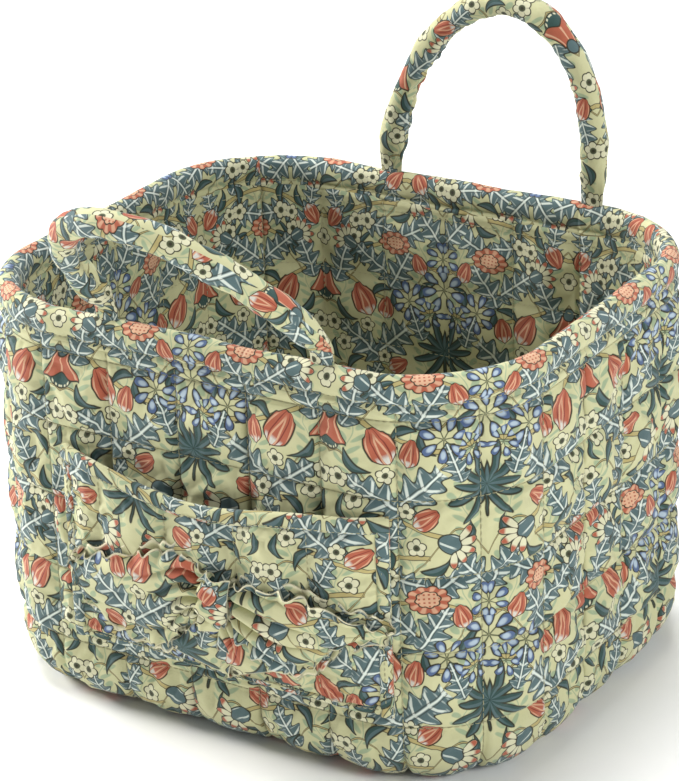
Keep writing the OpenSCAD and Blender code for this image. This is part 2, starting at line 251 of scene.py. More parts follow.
def add_piece(name, points, faces, uvs, material):
    """A mesh piece: faces are rows of point numbers, and uvs hold each corner's place on the cloth."""
    mesh = bpy.data.meshes.new(name)
    mesh.from_pydata((np.asarray(points) * MM).tolist(), [], [list(map(int, f)) for f in faces])
    layer = mesh.uv_layers.new(name="UVMap")
    layer.data.foreach_set("uv", (np.asarray(uvs, float) * MM).ravel())
    mesh.polygons.foreach_set("use_smooth", [True] * len(mesh.polygons))
    mesh.update()
    mesh.materials.append(material)
    return add_object(name, mesh)


def grid_faces(ni, nj, wrap_i, wrap_j):
    """Point numbers of a grid's four-sided faces, and of their corners on its unrolled cloth."""
    last_i, last_j = ni if wrap_i else ni - 1, nj if wrap_j else nj - 1
    i, j = pairs(np.arange(last_i), np.arange(last_j)).reshape(-1, 2).T
    corners = ((i, j), (i + 1, j), (i + 1, j + 1), (i, j + 1))
    faces = np.stack([(a % ni) * nj + b % nj for a, b in corners], 1)
    width = nj + 1 if wrap_j else nj
    spots = np.stack([a * width + b for a, b in corners], 1)
    return faces, spots


def grid_piece(name, grid, uv, material, wrap_i=False, wrap_j=False, caps=False):
    """A piece over a grid of points, with caps on its first and last rows if they are asked for.
    uv has one more row or column where the grid wraps round, and is None for a piece without a print."""
    ni, nj = grid.shape[:2]
    if uv is None:
        uv = np.zeros((ni + wrap_i, nj + wrap_j, 2))
    faces, spots = grid_faces(ni, nj, wrap_i, wrap_j)
    uvs = uv.reshape(-1, 2)[spots.ravel()]
    faces = list(faces)
    if caps:
        for row, order in ((0, 1), (ni - 1, -1)):
            faces.append((row * nj + np.arange(nj))[::order])
            uvs = np.vstack([uvs, uv[row, :nj][::order]])
    return add_piece(name, grid.reshape(-1, 3), faces, uvs, material)


def applied(obj):
    """Turns an object's modifiers into its mesh."""
    graph = bpy.context.evaluated_depsgraph_get()
    mesh = bpy.data.meshes.new_from_object(obj.evaluated_get(graph))
    mesh.name = obj.name
    obj.modifiers.clear()
    obj.data = mesh
    return obj


def thicken(obj, thickness=CLOTH):
    """Gives a sheet its thickness, behind its face."""
    solid = obj.modifiers.new("thickness", "SOLIDIFY")
    solid.thickness = thickness * MM
    solid.offset = -1
    return applied(obj)


def welded(obj, distance=0.01):
    """Joins points that share a place, such as a disc's middle, and drops the faces that closes up."""
    weld = obj.modifiers.new("weld", "WELD")
    weld.merge_threshold = distance * MM
    return applied(obj)


def attach(obj, body, nodes=()):
    """Puts a finished piece on its body, in place of its CAD nodes."""
    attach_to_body(obj, body)
    if nodes:
        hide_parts(*nodes)
    return obj


CLOTH_STIFFNESS = 12.0
CLOTH_PRESSURE = 3.0
CLOTH_GROWTH = 0.05              # share by which the cloth outgrows its first shape
CLOTH_FRAMES = 22


def simulate(name, grid, held, wrap):
    """Blows up a sheet that is held along its seams, as cloth, and returns its points."""
    obj = grid_piece(name, grid, None, bpy.data.materials.new(name), wrap_i=wrap)
    group = obj.vertex_groups.new(name="held")
    group.add([int(k) for k in np.flatnonzero(held.ravel())], 1.0, "REPLACE")
    cloth = obj.modifiers.new("cloth", "CLOTH")
    settings = cloth.settings
    settings.quality = 6
    settings.mass = 0.15
    settings.tension_stiffness = settings.compression_stiffness = CLOTH_STIFFNESS
    settings.shear_stiffness = CLOTH_STIFFNESS / 3
    settings.bending_stiffness = 0.15
    settings.tension_damping = settings.compression_damping = 5.0
    settings.air_damping = 3.0
    settings.vertex_group_mass = "held"
    settings.shrink_min = -CLOTH_GROWTH
    settings.use_pressure = True
    settings.uniform_pressure_force = CLOTH_PRESSURE
    settings.effector_weights.gravity = 0.0
    cloth.collision_settings.use_collision = False
    cloth.point_cache.frame_end = CLOTH_FRAMES
    scene = bpy.context.scene
    for step in range(1, CLOTH_FRAMES + 1):
        scene.frame_set(step)
    graph = bpy.context.evaluated_depsgraph_get()
    moved = np.empty(grid.size)
    obj.evaluated_get(graph).data.vertices.foreach_get("co", moved)
    mesh = obj.data
    bpy.data.objects.remove(obj)
    bpy.data.meshes.remove(mesh)
    scene.frame_set(1)
    return moved.reshape(grid.shape) / MM


# ---- Material arithmetic ----

def add_node(tree, kind, *values, **settings):
    """A new node with its settings made and its first inputs fed. None leaves an input as it is."""
    node = tree.nodes.new("ShaderNode" + kind)
    for name, value in settings.items():
        setattr(node, name, value)
    for slot, value in zip(node.inputs, values):
        feed(tree, slot, value)
    return node


def feed(tree, slot, value):
    """Gives a node's input a number, a colour or what another node puts out."""
    if isinstance(value, Num):
        value = value.socket
    if isinstance(value, bpy.types.NodeSocket):
        tree.links.new(value, slot)
    elif value is not None:
        slot.default_value = value


class Num:
    """A number in a node tree. Arithmetic on it adds Math nodes."""
    def __init__(self, tree, socket):
        self.tree, self.socket = tree, socket

    def op(self, name, *rest, clamp=False):
        node = add_node(self.tree, "Math", self, *rest, operation=name, use_clamp=clamp)
        return Num(self.tree, node.outputs[0])

    def __add__(self, other):
        return self.op("ADD", other)

    def __sub__(self, other):
        return self.op("SUBTRACT", other)

    def __mul__(self, other):
        return self.op("MULTIPLY", other)

    def __truediv__(self, other):
        return self.op("DIVIDE", other)

    def __rsub__(self, other):
        return self.op("MULTIPLY_ADD", -1.0, other)

    def __abs__(self):
        return self.op("ABSOLUTE")

    __radd__, __rmul__ = __add__, __mul__

    def sin(self):
        return self.op("SINE")

    def cos(self):
        return self.op("COSINE")

    def sqrt(self):
        return self.op("SQRT")

    def power(self, exponent):
        return self.op("POWER", exponent)

    def least(self, other):
        return self.op("MINIMUM", other)

    def most(self, other):
        return self.op("MAXIMUM", other)

    def below(self, edge, soft):
        """1 where this is under edge and 0 over it, changing over a soft width."""
        return (self - edge).op("MULTIPLY_ADD", -1 / soft, 0.5, clamp=True)

    def above(self, edge, soft):
        return (self - edge).op("MULTIPLY_ADD", 1 / soft, 0.5, clamp=True)

    def square(self):
        return self.power(2.0)

    def arch(self):
        """Height of a half circle over this place: 1 at 0, and 0 from 1 outwards."""
        return (1.0 - self.square()).most(0.0).sqrt()


def radius(x, y):
    """Distance of a place from the middle of a motif."""
    return (x.square() + y.square()).sqrt()


def linear(r, g, b):
    """A colour given as 0 to 255 screen values, as the shader takes it."""
    return [((c / 255 + 0.055) / 1.055) ** 2.4 for c in (r, g, b)] + [1.0]


INK = {
    "ground": linear(197, 196, 153), "sage": linear(142, 164, 134), "outline": linear(52, 50, 36),
    "gold": linear(180, 166, 112), "teal": linear(82, 104, 106), "deep": linear(52, 78, 74),
    "white": linear(214, 222, 212), "coral": linear(172, 94, 70), "rust": linear(124, 54, 44),
    "blush": linear(212, 170, 138), "blue": linear(82, 102, 138), "sky": linear(172, 188, 200),
    "cream": linear(212, 210, 178), "olive": linear(76, 82, 58),
}
TILE_W, TILE_H = 98.0, 145.0     # half a repeat of the print across, and a whole one up, in mm
LINE = 0.46                      # width of the print's outlines, in mm
FAR_OFF = 999.0                  # outside the print


class Print:
    """Draws motifs on cloth, in mm. A motif's own coordinates have 1 as its size."""
    def __init__(self, tree, place):
        self.tree, self.place, self.colour = tree, place, INK["ground"]

    def vector(self, name, *values, out="Vector"):
        return add_node(self.tree, "VectorMath", *values, operation=name).outputs[out]

    def split(self, vector):
        outputs = add_node(self.tree, "SeparateXYZ", vector).outputs
        return Num(self.tree, outputs[0]), Num(self.tree, outputs[1])

    def nearest(self, spots):
        """x, y and distance from the nearest spot, each given as across, up, angle and size."""
        best = near = None
        for across, up, angle, size in spots:
            moved = self.vector("SUBTRACT", self.place, (across, up, 0.0))
            half = (FAR_OFF, TILE_H / 2, FAR_OFF)
            wrapped = self.vector("WRAP", moved, half, tuple(-k for k in half))
            turn = add_node(self.tree, "Mapping", wrapped, vector_type="TEXTURE")
            turn.inputs["Rotation"].default_value = (0.0, 0.0, math.radians(angle))
            turn.inputs["Scale"].default_value = (size, size, size)
            turned = turn.outputs[0]
            far = Num(self.tree, self.vector("LENGTH", turned, out="Value"))
            if best is None:
                best, near = turned, far
                continue
            nearer = far.op("LESS_THAN", near)
            mix = add_node(self.tree, "Mix", nearer, None, None, None, best, turned, data_type="VECTOR")
            best, near = mix.outputs[1], far.least(near)
        x, y = self.split(best)
        return x, y, near

    def paint(self, ink, mask):
        """Lays an ink over what is drawn so far, where mask is 1."""
        self.colour = blended(self.tree, mask, self.colour, INK[ink])

    def shape(self, ink, depth, size):
        """Paints a filled shape with a dark outline: depth is under 0 inside it, and size is in mm."""
        self.paint("outline", depth.below(LINE / size, LINE / size))
        self.paint(ink, depth.below(-LINE * 0.9 / size, LINE * 0.8 / size))


def sprigs(art):
    """Faint upright sprays of small leaves, behind everything else."""
    place = art.vector("WRAP", art.place, (TILE_W / 2 + 17, 14.5, 9.0), (TILE_W / 2 - 17, -14.5, -9.0))
    x, y = art.split(place)
    bend = (y * 0.2167).sin() * 3.0
    off = abs(x - TILE_W / 2 - bend)
    row = (y - off * 0.55).op("WRAP", 3.6, -3.6)
    leaf = radius((off - 5.2) * 0.27, row * 0.50)
    art.paint("sage", off.below(0.35, 0.5).most(leaf.below(1.0, 0.3)) * 0.8)


def stems(art):
    """Wandering stems."""
    u, v = art.split(art.place)
    # height, swing, turn a mm, shift, first and last place across, and half width
    for height, swing, wave, shift, low, high, half in (
            (-24.0, 7.0, 0.050, 0.4, 22.0, 78.0, 1.2), (38.0, 12.0, 0.038, 2.0, 8.0, 92.0, 1.2),
            (64.0, 9.0, 0.06, 4.4, 30.0, 98.0, 1.2), (-52.0, 10.0, 0.045, 5.2, 0.0, 62.0, 1.2),
            (6.0, 16.0, 0.085, 1.0, 0.0, 98.0, 0.3), (50.0, 11.0, 0.12, 3.0, 0.0, 98.0, 0.3),
            (-40.0, 15.0, 0.10, 0.0, 0.0, 98.0, 0.3), (-62.0, 9.0, 0.14, 2.2, 0.0, 98.0, 0.3)):
        curve = (u * wave + shift).sin() * swing + height
        off = abs((v - curve).op("WRAP", TILE_H / 2, -TILE_H / 2))
        inside = u.above(low, 0.5) * u.below(high, 0.5)
        art.paint("outline", off.below(half + 0.5, LINE) * inside)
        art.paint("gold", off.below(half, LINE) * inside)


def oak_leaves(art, size, spots):
    x, y, _ = art.nearest(spots)
    lean = y - abs(x) * 0.55
    body = (1.0 - y * y).most(0.0).power(0.55)
    lobes = (lean * 12.0).sin() * 0.16 + 0.44
    depth = (abs(x) - body * lobes * (1.0 - y * 0.18)).most(abs(y) - 0.98)
    art.shape("teal", depth, size)
    inner = depth.below(-0.05, 0.04)
    vein = abs(x).below(0.032, 0.03)
    ribs = (lean * 12.0 + 0.9).sin().above(0.85, 0.16) * depth.below(-0.10, 0.08)
    hatching = (lean * 48.0 + abs(x) * 20.0).sin().above(0.5, 0.5) * depth.above(-0.16, 0.06) * 0.4
    art.paint("white", vein.most(ribs * 0.9).most(hatching) * inner)
    art.paint("outline", abs(abs(x) - 0.07).below(0.012, 0.02) * inner * 0.7)


def tulips(art, size, spots):
    x, y, _ = art.nearest(spots)
    crown = y.above(0.35, 0.3) * (x * 16.0).cos() * 0.09
    wide = (1.0 - y * y).most(0.02).sqrt() * (0.68 - y * 0.10)
    t = abs(x) / wide
    depth = ((t * t * 0.7 + (y + crown).power(2.0)).sqrt() - 1.0).most(abs(x) - wide)
    art.shape("coral", depth, size)
    inner = depth.below(-0.06, 0.04)
    streak = (t * 9.0 + y * 2.2).sin().above(0.80, 0.15) * y.below(0.55, 0.4)
    art.paint("blush", streak * inner * 0.85)
    art.paint("rust", abs(t - 0.42 + y * 0.1).below(0.045, 0.04) * inner)
    base = y.below(-0.55, 0.2) * (t * 12.0).sin().above(0.0, 0.3)
    art.paint("white", base * inner * 0.8)


def bells(art, size, spots):
    x, y, _ = art.nearest(spots)
    skirt = (0.62 - y).most(0.0).power(1.6) * 0.62 + 0.30
    fringe = radius(x, y + 0.18)
    art.shape("deep", fringe - 0.52, size)
    dots = abs(fringe - 0.46).below(0.035, 0.03) * (x * 42.0).sin().above(0.0, 0.5)
    art.paint("cream", dots)
    hem = (x * 8.0).cos() * 0.06 + abs(x) * -0.25
    depth = (abs(x) - skirt).most(y - 0.62).most(hem - 0.22 - y)
    art.shape("coral", depth.most(abs(x) - 0.80), size)
    art.paint("blush", (x / skirt * 8.0).cos().above(0.86, 0.1) * depth.below(-0.05, 0.04) * 0.9)
    art.shape("teal", radius(x * 1.1, y - 0.70) - 0.26, size)


def anemones(art, size, spots):
    x, y, r = art.nearest(spots)
    petal = abs((y.op("ARCTAN2", x) * 2.5).cos())
    depth = r - (petal * 0.26 + 0.70)
    art.shape("cream", depth, size)
    art.paint("outline", petal.below(0.10, 0.12) * r.above(0.4, 0.1) * depth.below(-0.03, 0.05) * 0.8)
    art.paint("olive", r.below(0.34, 0.08))
    art.paint("outline", r.below(0.16, 0.08))


def blue_sprays(art, size, spots):
    x, y, r = art.nearest(spots)
    sector = 2 * math.pi / 7
    angle = y.op("ARCTAN2", x).op("WRAP", sector / 2, -sector / 2)
    across, along = angle.sin() * r, angle.cos() * r
    art.paint("olive", abs(across).below(0.022, 0.03) * along.below(0.45, 0.05) * r.above(0.0, 0.1))
    width = ((along - 0.66) * 3.1).arch() * (along * 0.22 + 0.03)
    depth = (abs(across) - width).most(abs(along - 0.66) - 0.32)
    art.shape("blue", depth, size)
    art.paint("sky", radius(across * 9.0, (along - 0.62) * 5.0).below(0.85, 0.5))


def rosettes(art, size, spots):
    x, y, r = art.nearest(spots)
    sector = 2 * math.pi / 11
    angle = y.op("ARCTAN2", x) + r * 0.35
    fold = angle.op("WRAP", sector / 2, -sector / 2)
    across = abs(fold.sin() * r)
    reach = (angle * 3.0).sin() * 0.14 + 0.84
    width = (r / reach * 2.0 - 1.0).arch() * 0.085
    depth = (across - width).most(r - reach)
    art.shape("deep", depth, size)
    art.paint("teal", depth.below(-0.025, 0.02) * fold.above(0.0, 0.05))


def fan_flowers(art, size, spots):
    x, y, r = art.nearest(spots)
    angle = x.op("ARCTAN2", y)
    fold = angle.op("WRAP", 0.27, -0.27)
    across, along = abs(fold.sin() * r), fold.cos() * r
    width = ((along - 0.62) * 2.7).arch() * 0.155
    petal = (across - width).most(abs(angle) - 1.30).most(along - 0.98)
    art.shape("cream", petal, size)
    art.paint("coral", along.above(0.74, 0.1) * petal.below(-0.03, 0.03))
    cup = radius(x * 1.5, y + 0.02) - 0.56
    art.shape("teal", cup.most(y - 0.22 - (x * 9.0).cos() * 0.10), size)
    ribs = (x * 14.0).sin().above(0.85, 0.1) * cup.below(-0.06, 0.03)
    art.paint("white", ribs * y.below(0.1, 0.2) * 0.8)


def peonies(art, size, spots):
    x, y, _ = art.nearest(spots)
    flat = radius(x, y * 1.5)
    angle = (y * 1.5).op("ARCTAN2", x)
    lobes = abs((angle * 5.0).cos())
    rim = flat - (lobes * 0.14 + 0.82)
    art.shape("coral", rim, size)
    art.paint("blush", lobes.above(0.75, 0.3) * flat.above(0.52, 0.1) * rim.below(-0.06, 0.05) * 0.8)
    inner = flat - (abs((angle * 4.0 + 1.0).sin()) * 0.08 + 0.46)
    art.shape("blush", inner, size)
    checks = (x * 30.0).sin().above(0.2, 0.3) * (y * 38.0).sin().above(0.2, 0.3)
    art.paint("coral", checks * inner.below(-0.05, 0.04))


def curls(art, size, spots):
    x, y, _ = art.nearest(spots)
    bent = x - y * y * 0.5 + 0.2
    width = (1.0 - y * y).most(0.0) * (0.26 + y * 0.10)
    depth = (abs(bent) - width).most(abs(y) - 0.93)
    art.shape("deep", depth, size)
    art.paint("teal", depth.below(-0.07, 0.05) * bent.above(0.0, 0.05))


def draw_print(art):
    """The whole repeat, back to front. A spot is across, up, angle in degrees and size, in mm."""
    sprigs(art)
    stems(art)
    rosettes(art, 26, [(98, 0, 90, 29), (30, 66, 70, 19)])
    oak_leaves(art, 18, [
        (29, -4, 55, 21), (58, 2, -48, 23), (87, -54, 40, 18), (64, 56, -30, 19), (42, 58, 52, 18),
        (16, 54, -20, 18), (14, 84, 30, 17), (74, 84, -62, 18), (44, -60, -100, 17), (77, 18, 20, 14),
        (10, -44, 12, 14), (38, -32, -30, 15)])
    curls(art, 9, [
        (18, 16, 50, 11), (46, 36, -60, 10), (8, -16, 20, 9), (24, -22, -40, 10), (84, 42, -30, 11),
        (36, -44, 200, 10), (66, -50, 120, 10), (22, -48, 160, 9), (60, 30, 30, 9), (86, -30, 160, 9)])
    anemones(art, 7, [
        (6, 5, 10, 7.0), (15, -9, 40, 6.6), (37, -58, 0, 6.8), (27, -71, 30, 6.4), (5, -32, 60, 6.6),
        (0, 69, 0, 6.4), (48, -14, 15, 5.6), (36, 9, 80, 6.0), (54, -36, 20, 6.2), (28, 86, 40, 5.8)])
    blue_sprays(art, 14, [(98, 45, 90, 18), (71, 33, 60, 15), (98, 68, 50, 13), (88, 26, 100, 11)])
    tulips(art, 10, [
        (33, 28, 28, 13.0), (51, 24, -12, 9.0), (60, -18, -60, 9.0), (10, -60, 150, 8.6),
        (80, 62, 20, 8.6)])
    fan_flowers(art, 15, [(75, -34, -118, 16), (22, 70, 60, 13)])
    peonies(art, 13, [(60, -71, 4, 14)])
    bells(art, 15, [(0, 33, 0, 17)])
    return art.colour


def print_group():
    """Node group that takes a place on the cloth in mm and gives the print's colour there."""
    tree = bpy.data.node_groups.new("floral_print", "ShaderNodeTree")
    tree.interface.new_socket("Place", in_out="INPUT", socket_type="NodeSocketVector")
    tree.interface.new_socket("Color", in_out="OUTPUT", socket_type="NodeSocketColor")
    start = tree.nodes.new("NodeGroupInput")
    end = tree.nodes.new("NodeGroupOutput")
    art = Print(tree, start.outputs[0])
    u, v = art.split(art.place)
    u, v = abs(u.op("WRAP", TILE_W, -TILE_W)), v.op("WRAP", TILE_H / 2, -TILE_H / 2)
    art.place = add_node(tree, "CombineXYZ", u, v).outputs[0]
    feed(tree, end.inputs[0], draw_print(art))
    return tree


# ---- Materials ----

WEAVE = 0.5                      # width of a yarn, in mm
FRAY_COLOUR = linear(226, 220, 190)
THREAD_COLOUR = linear(196, 192, 150)
THREAD_SHADE = linear(150, 146, 108)
FLOOR_COLOUR = linear(250, 250, 248)
FLOOR_SHADE = linear(246, 246, 244)
PADDING_COLOUR = linear(236, 234, 226)
BOARD_COLOUR = linear(168, 160, 146)


def noise_node(tree, vector, scale, detail=3.0):
    node = add_node(tree, "TexNoise")
    for name, value in (("Scale", scale), ("Detail", detail), ("Vector", vector)):
        feed(tree, node.inputs[name], value)
    return Num(tree, node.outputs["Fac"])


def blended(tree, fac, a, b, blend_type="MIX"):
    """Colour a mixed with b, where each is a socket or a colour."""
    unused = [None] * 5
    return add_node(tree, "Mix", fac, *unused, a, b, data_type="RGBA", blend_type=blend_type).outputs[2]


def start_material(name, roughness, sheen):
    material = bpy.data.materials.new(name)
    material.use_nodes = True
    tree = material.node_tree
    shader = tree.nodes["Principled BSDF"]
    shader.inputs["Roughness"].default_value = roughness
    shader.inputs["Sheen Weight"].default_value = sheen
    shader.inputs["Specular IOR Level"].default_value = 0.25
    return material, tree, shader


def finish_material(tree, shader, colour, height, distance, strength=1.0):
    """Gives a shader its colour, and bumps of a height times a distance in metres."""
    feed(tree, shader.inputs["Base Color"], colour)
    node = add_node(tree, "Bump")
    for name, value in (("Strength", strength), ("Distance", distance), ("Height", height)):
        feed(tree, node.inputs[name], value)
    feed(tree, shader.inputs["Normal"], node.outputs[0])


def print_material(name, group, offset, frayed=False):
    """Printed cotton: the print, a slight fade, a plain weave with painted shade between its yarns, and
    soft creases.
    """
    material, tree, shader = start_material(name, 0.82, 0.15)
    uv = add_node(tree, "TexCoord").outputs["UV"]
    place = Print(tree, uv).vector("MULTIPLY_ADD", uv, (1 / MM, 1 / MM, 0.0), (*offset, 0.0))
    picture = add_node(tree, "Group", node_tree=group)
    feed(tree, picture.inputs[0], place)
    x, y = Print(tree, place).split(place)
    turn = math.pi / WEAVE
    weave = abs((x * turn).sin()) + abs((y * turn).sin())
    # A slight random fade over large patches, times painted shade: darker between the yarns of the weave
    # and lighter on their crowns.
    fade_and_weave_shade = noise_node(tree, place, 0.02) * 0.16 + weave * 0.05 + 0.86
    shade = add_node(tree, "CombineColor", fade_and_weave_shade, fade_and_weave_shade, fade_and_weave_shade)
    colour = blended(tree, 1.0, picture.outputs[0], shade.outputs[0], "MULTIPLY")
    if frayed:
        edge = add_node(tree, "Attribute", attribute_name="raw_edge")
        colour = blended(tree, edge.outputs["Fac"], colour, FRAY_COLOUR)
    creases = noise_node(tree, place, 0.30, 5.0)
    finish_material(tree, shader, colour, weave * 0.12 + creases, 0.0008, 0.7)
    return material


def fibre_material(name, colour, scale, depth, roughness=0.95):
    """Plain fibrous stuff, such as padding or board."""
    material, tree, shader = start_material(name, roughness, 0.2)
    fine = noise_node(tree, add_node(tree, "TexCoord").outputs["Object"], scale)
    dark = [0.7 * c for c in colour[:3]] + [1.0]
    finish_material(tree, shader, blended(tree, fine, dark, colour), fine, depth)
    return material


def thread_material():
    """Sewing thread, with its twist."""
    material, tree, shader = start_material("sewing_thread", 0.6, 0.3)
    wave = add_node(tree, "TexWave", add_node(tree, "TexCoord").outputs["Object"])
    wave.inputs["Scale"].default_value = 900.0
    wave.inputs["Distortion"].default_value = 2.0
    twist = Num(tree, wave.outputs["Fac"])
    finish_material(tree, shader, blended(tree, twist * 0.5, THREAD_COLOUR, THREAD_SHADE), twist, 0.0002)
    return material


def floor_material():
    """Matt pale board with a faint grain."""
    material, tree, shader = start_material("studio_floor", 0.9, 0.0)
    grain = noise_node(tree, add_node(tree, "TexCoord").outputs["Object"], 40.0)
    finish_material(tree, shader, blended(tree, grain, FLOOR_COLOUR, FLOOR_SHADE), grain, 0.0001, 0.2)
    return material


# ---- Camera, light and floor ----

CAMERA_TURN = (32.889, 23.281, -1.917)  # yaw, pitch and roll, in degrees
CAMERA_DISTANCE = 1.92           # from the middle of the body, in metres
CAMERA_SHIFT = (-0.00384, 0.03888)  # to its own right and up, in metres
LENS = 134.1
FLOOR_HALF = 8000.0              # half the width of the studio floor, in mm
SKY_POWER, SKY_SPREAD = 2.9, 32.0
SKY_WAY = (0.5, -0.3, -2.1)      # the direction the light from above shines in
WORLD_STRENGTH = 0.28
LAMP_SIZE = 0.9
LAMPS = (                        # name, place in metres, power and colour
    ("left_light", (-2.3, -0.35, 1.2), 76.0, (1.0, 0.99, 0.97)),
    ("right_light", (2.2, -0.5, 1.3), 30.0, (0.98, 0.99, 1.0)))


def add_camera():
    """The camera, aimed at the middle of the body from the front right and above."""
    yaw, pitch, roll = (math.radians(a) for a in CAMERA_TURN)
    ahead = Vector((-math.sin(yaw) * math.cos(pitch), math.cos(yaw) * math.cos(pitch), -math.sin(pitch)))
    level = Vector((math.cos(yaw), math.sin(yaw), 0.0))
    above = level.cross(ahead)
    x_axis = math.cos(roll) * level + math.sin(roll) * above
    y_axis = math.cos(roll) * above - math.sin(roll) * level
    right, up = CAMERA_SHIFT
    place = MIDDLE - ahead * CAMERA_DISTANCE + x_axis * right + y_axis * up
    data = bpy.data.cameras.new("camera")
    data.lens = LENS
    camera = add_object("camera", data)
    turn = Matrix((x_axis, y_axis, -ahead)).transposed().to_4x4()
    camera.matrix_world = Matrix.Translation(place) @ turn
    bpy.context.scene.camera = camera


def facing(way):
    """The turn that points a lamp in a direction."""
    return way.to_track_quat("-Z", "Y").to_euler()


def add_studio():
    """A pale floor, a soft sun from above, a strong lamp on the left and a weak one on the right,
    and even light from all round."""
    grid = np.array([[(x, y, 0.0) for y in (-FLOOR_HALF, FLOOR_HALF)] for x in (-FLOOR_HALF, FLOOR_HALF)])
    floor = grid_piece("floor", grid, grid[..., :2], floor_material())
    sky = bpy.data.lights.new("sky_light", "SUN")
    sky.energy, sky.angle = SKY_POWER, math.radians(SKY_SPREAD)
    add_object("sky_light", sky).rotation_euler = facing(Vector(SKY_WAY))
    for name, place, power, colour in LAMPS:
        data = bpy.data.lights.new(name, "AREA")
        data.shape = "DISK"
        data.size, data.energy, data.color = LAMP_SIZE, power, colour
        lamp = add_object(name, data)
        lamp.location = place
        lamp.rotation_euler = facing(MIDDLE - lamp.location)
    world = bpy.data.worlds.new("studio")
    world.use_nodes = True
    background = world.node_tree.nodes["Background"]
    background.inputs["Color"].default_value = (1.0, 1.0, 1.0, 1.0)
    background.inputs["Strength"].default_value = WORLD_STRENGTH
    bpy.context.scene.world = world
    bpy.context.scene.view_settings.view_transform = "Standard"


# ---- Stitches ----

def stitch_piece(name, runs, material, pitch=4.4, length=3.3, radius=0.34):
    """Stitches along each run, which is its points and the directions out of the cloth, in one piece.
    A stitch has four rings of four points, and its ends dip into the cloth."""
    all_points = []
    for points, outs in runs:
        way = distance_along(points)
        count = int(way[-1] // pitch)
        if not count:
            continue
        spare = (way[-1] - count * pitch) / 2 + (pitch - length) / 2
        at = spare + np.arange(count)[:, None] * pitch + length * np.array([0.0, 0.3, 0.7, 1.0])
        mid = places_at(at, way, points)
        out = unit(places_at(at, way, outs))
        along = unit(np.gradient(mid, axis=1))
        side = unit(np.cross(along, out))
        lift = radius * np.array([-0.8, 0.75, 0.75, -0.8])[None, :, None]
        wide = radius * np.array([0.6, 1.0, 1.0, 0.6])[None, :, None]
        ring = [mid + out * lift + wide * d for d in (side, out, -side, -out)]
        all_points.append(np.stack(ring, 2))
    grid = np.concatenate(all_points)
    base = (np.arange(len(grid)) * 16)[:, None, None]
    body = np.array([[a * 4 + k, a * 4 + 4 + k, a * 4 + 4 + (k + 1) % 4, a * 4 + (k + 1) % 4]
                     for a in range(3) for k in range(4)])
    ends = np.array([[0, 1, 2, 3], [15, 14, 13, 12]])
    faces = (base + np.concatenate([body, ends])[None]).reshape(-1, 4)
    return add_piece(name, grid.reshape(-1, 3), faces, np.zeros((faces.size, 2)), material)


def sew(name, runs, thread, node, pitch=4.4, length=3.3):
    """Stitches on the body that stand for a CAD node's thread."""
    attach(stitch_piece(name, runs, thread, pitch, length), "root", [node])


# ---- Quilted wall ----

POCKET_LOW, POCKET_HIGH = cad_box("pocket_left_edge")[0], cad_box("pocket_right_edge")[1]
POCKET_LEFT, POCKET_RIGHT = POCKET_LOW[0], POCKET_HIGH[0]
POCKET_MID = (POCKET_LEFT + POCKET_RIGHT) / 2
POCKET_HALF = (POCKET_RIGHT - POCKET_LEFT) / 2
POCKET_Z, POCKET_TOP = POCKET_LOW[2], POCKET_HIGH[2]
POCKET_H = POCKET_TOP - POCKET_Z
POCKET_GAP = 0.9                 # between the wall and the back of the pocket panel
POCKET_T = 4.5                   # thickness of the panel
POCKET_GAPE = 14.0               # how far its mouth stands away from the wall
MOUTH_SAG = 13.0
MOUTH_SAG_X, MOUTH_SAG_WIDE = 4, 62
PUFF_ROUND = 9.0                 # how far from a seam a square has mostly swollen
GROOVE_WIDE = 1.2
MOST_PUFF = PUFF + 1.0
PUFF_GAIN = 1.08                 # on the simulated swelling


def wall_y(x):
    """Y of the wall's outside at x on the front."""
    past = np.maximum(np.abs(x) - FRONT / 2, 0)
    radius = CORNER_R - 1
    return CORNER_R - HALF_D - np.sqrt(radius ** 2 - past ** 2)


def mouth_z(x):
    """Height of the pocket's mouth, which sags in the middle."""
    return POCKET_TOP - 1.0 - MOUTH_SAG * hump(x - MOUTH_SAG_X, MOUTH_SAG_WIDE)


def belly(x, z):
    """How far the pocket bellies away from the wall."""
    u = (x - POCKET_MID) / POCKET_HALF
    v = np.clip((z - POCKET_Z) / POCKET_H, 0, 1)
    return POCKET_GAPE * np.maximum(0, 1 - u ** 4) * (1 - (1 - v) ** 2)


def seam_distances(s, h):
    """Distances at s and h on the wall from the nearest upright seam and the nearest row."""
    return edge_distance(s, FIRST_COLUMN, PITCH), edge_distance(h, LOW_ROW, ROW_PITCH, ROWS)


def puff_shape(s, h):
    """Share of a full puff at s and h on the wall: 0 on a seam, near 1 in the middle of a square."""
    across, up = seam_distances(s, h)
    up = np.minimum(up, np.maximum(h - WALL_END, 0))
    return swelling(across, PUFF_ROUND) * swelling(up, PUFF_ROUND)


def seam_share(s, h):
    """1 on a seam, where the thread cuts into the cloth, and 0 a step away from it."""
    return hump(np.minimum(*seam_distances(s, h)), GROOVE_WIDE)


def wall_steps():
    """Places round and up the wall of the simulated grid, with points on every seam."""
    s = FIRST_COLUMN + np.arange(COLUMNS * STEPS) * PITCH / STEPS
    step = ROW_PITCH / STEPS
    above = int((WALL_TOP - TOP_ROW) / step)
    below = int((TOP_ROW - WALL_END) / step)
    h = TOP_ROW + np.arange(-below, above + 1) * step
    h[0] = WALL_END
    return s, h


def room_for_pocket(s, h, swell):
    """Keeps the wall's swelling within the room that the pocket leaves behind it."""
    xy, _ = outline(s, np.ones_like(s))
    x, front = xy[..., 0], xy[..., 1] < 0
    inside = smooth(POCKET_HALF + 5 - np.abs(x - POCKET_MID), 0, 6) * smooth(h, POCKET_Z - 6, POCKET_Z)
    inside = inside * smooth(POCKET_TOP + 6 - h, 0, 6) * front
    room = STITCH_DEPTH - 1 + 0.3 + belly(x, h) * 0.35
    return swell * (1 - inside) + np.minimum(swell, room) * inside


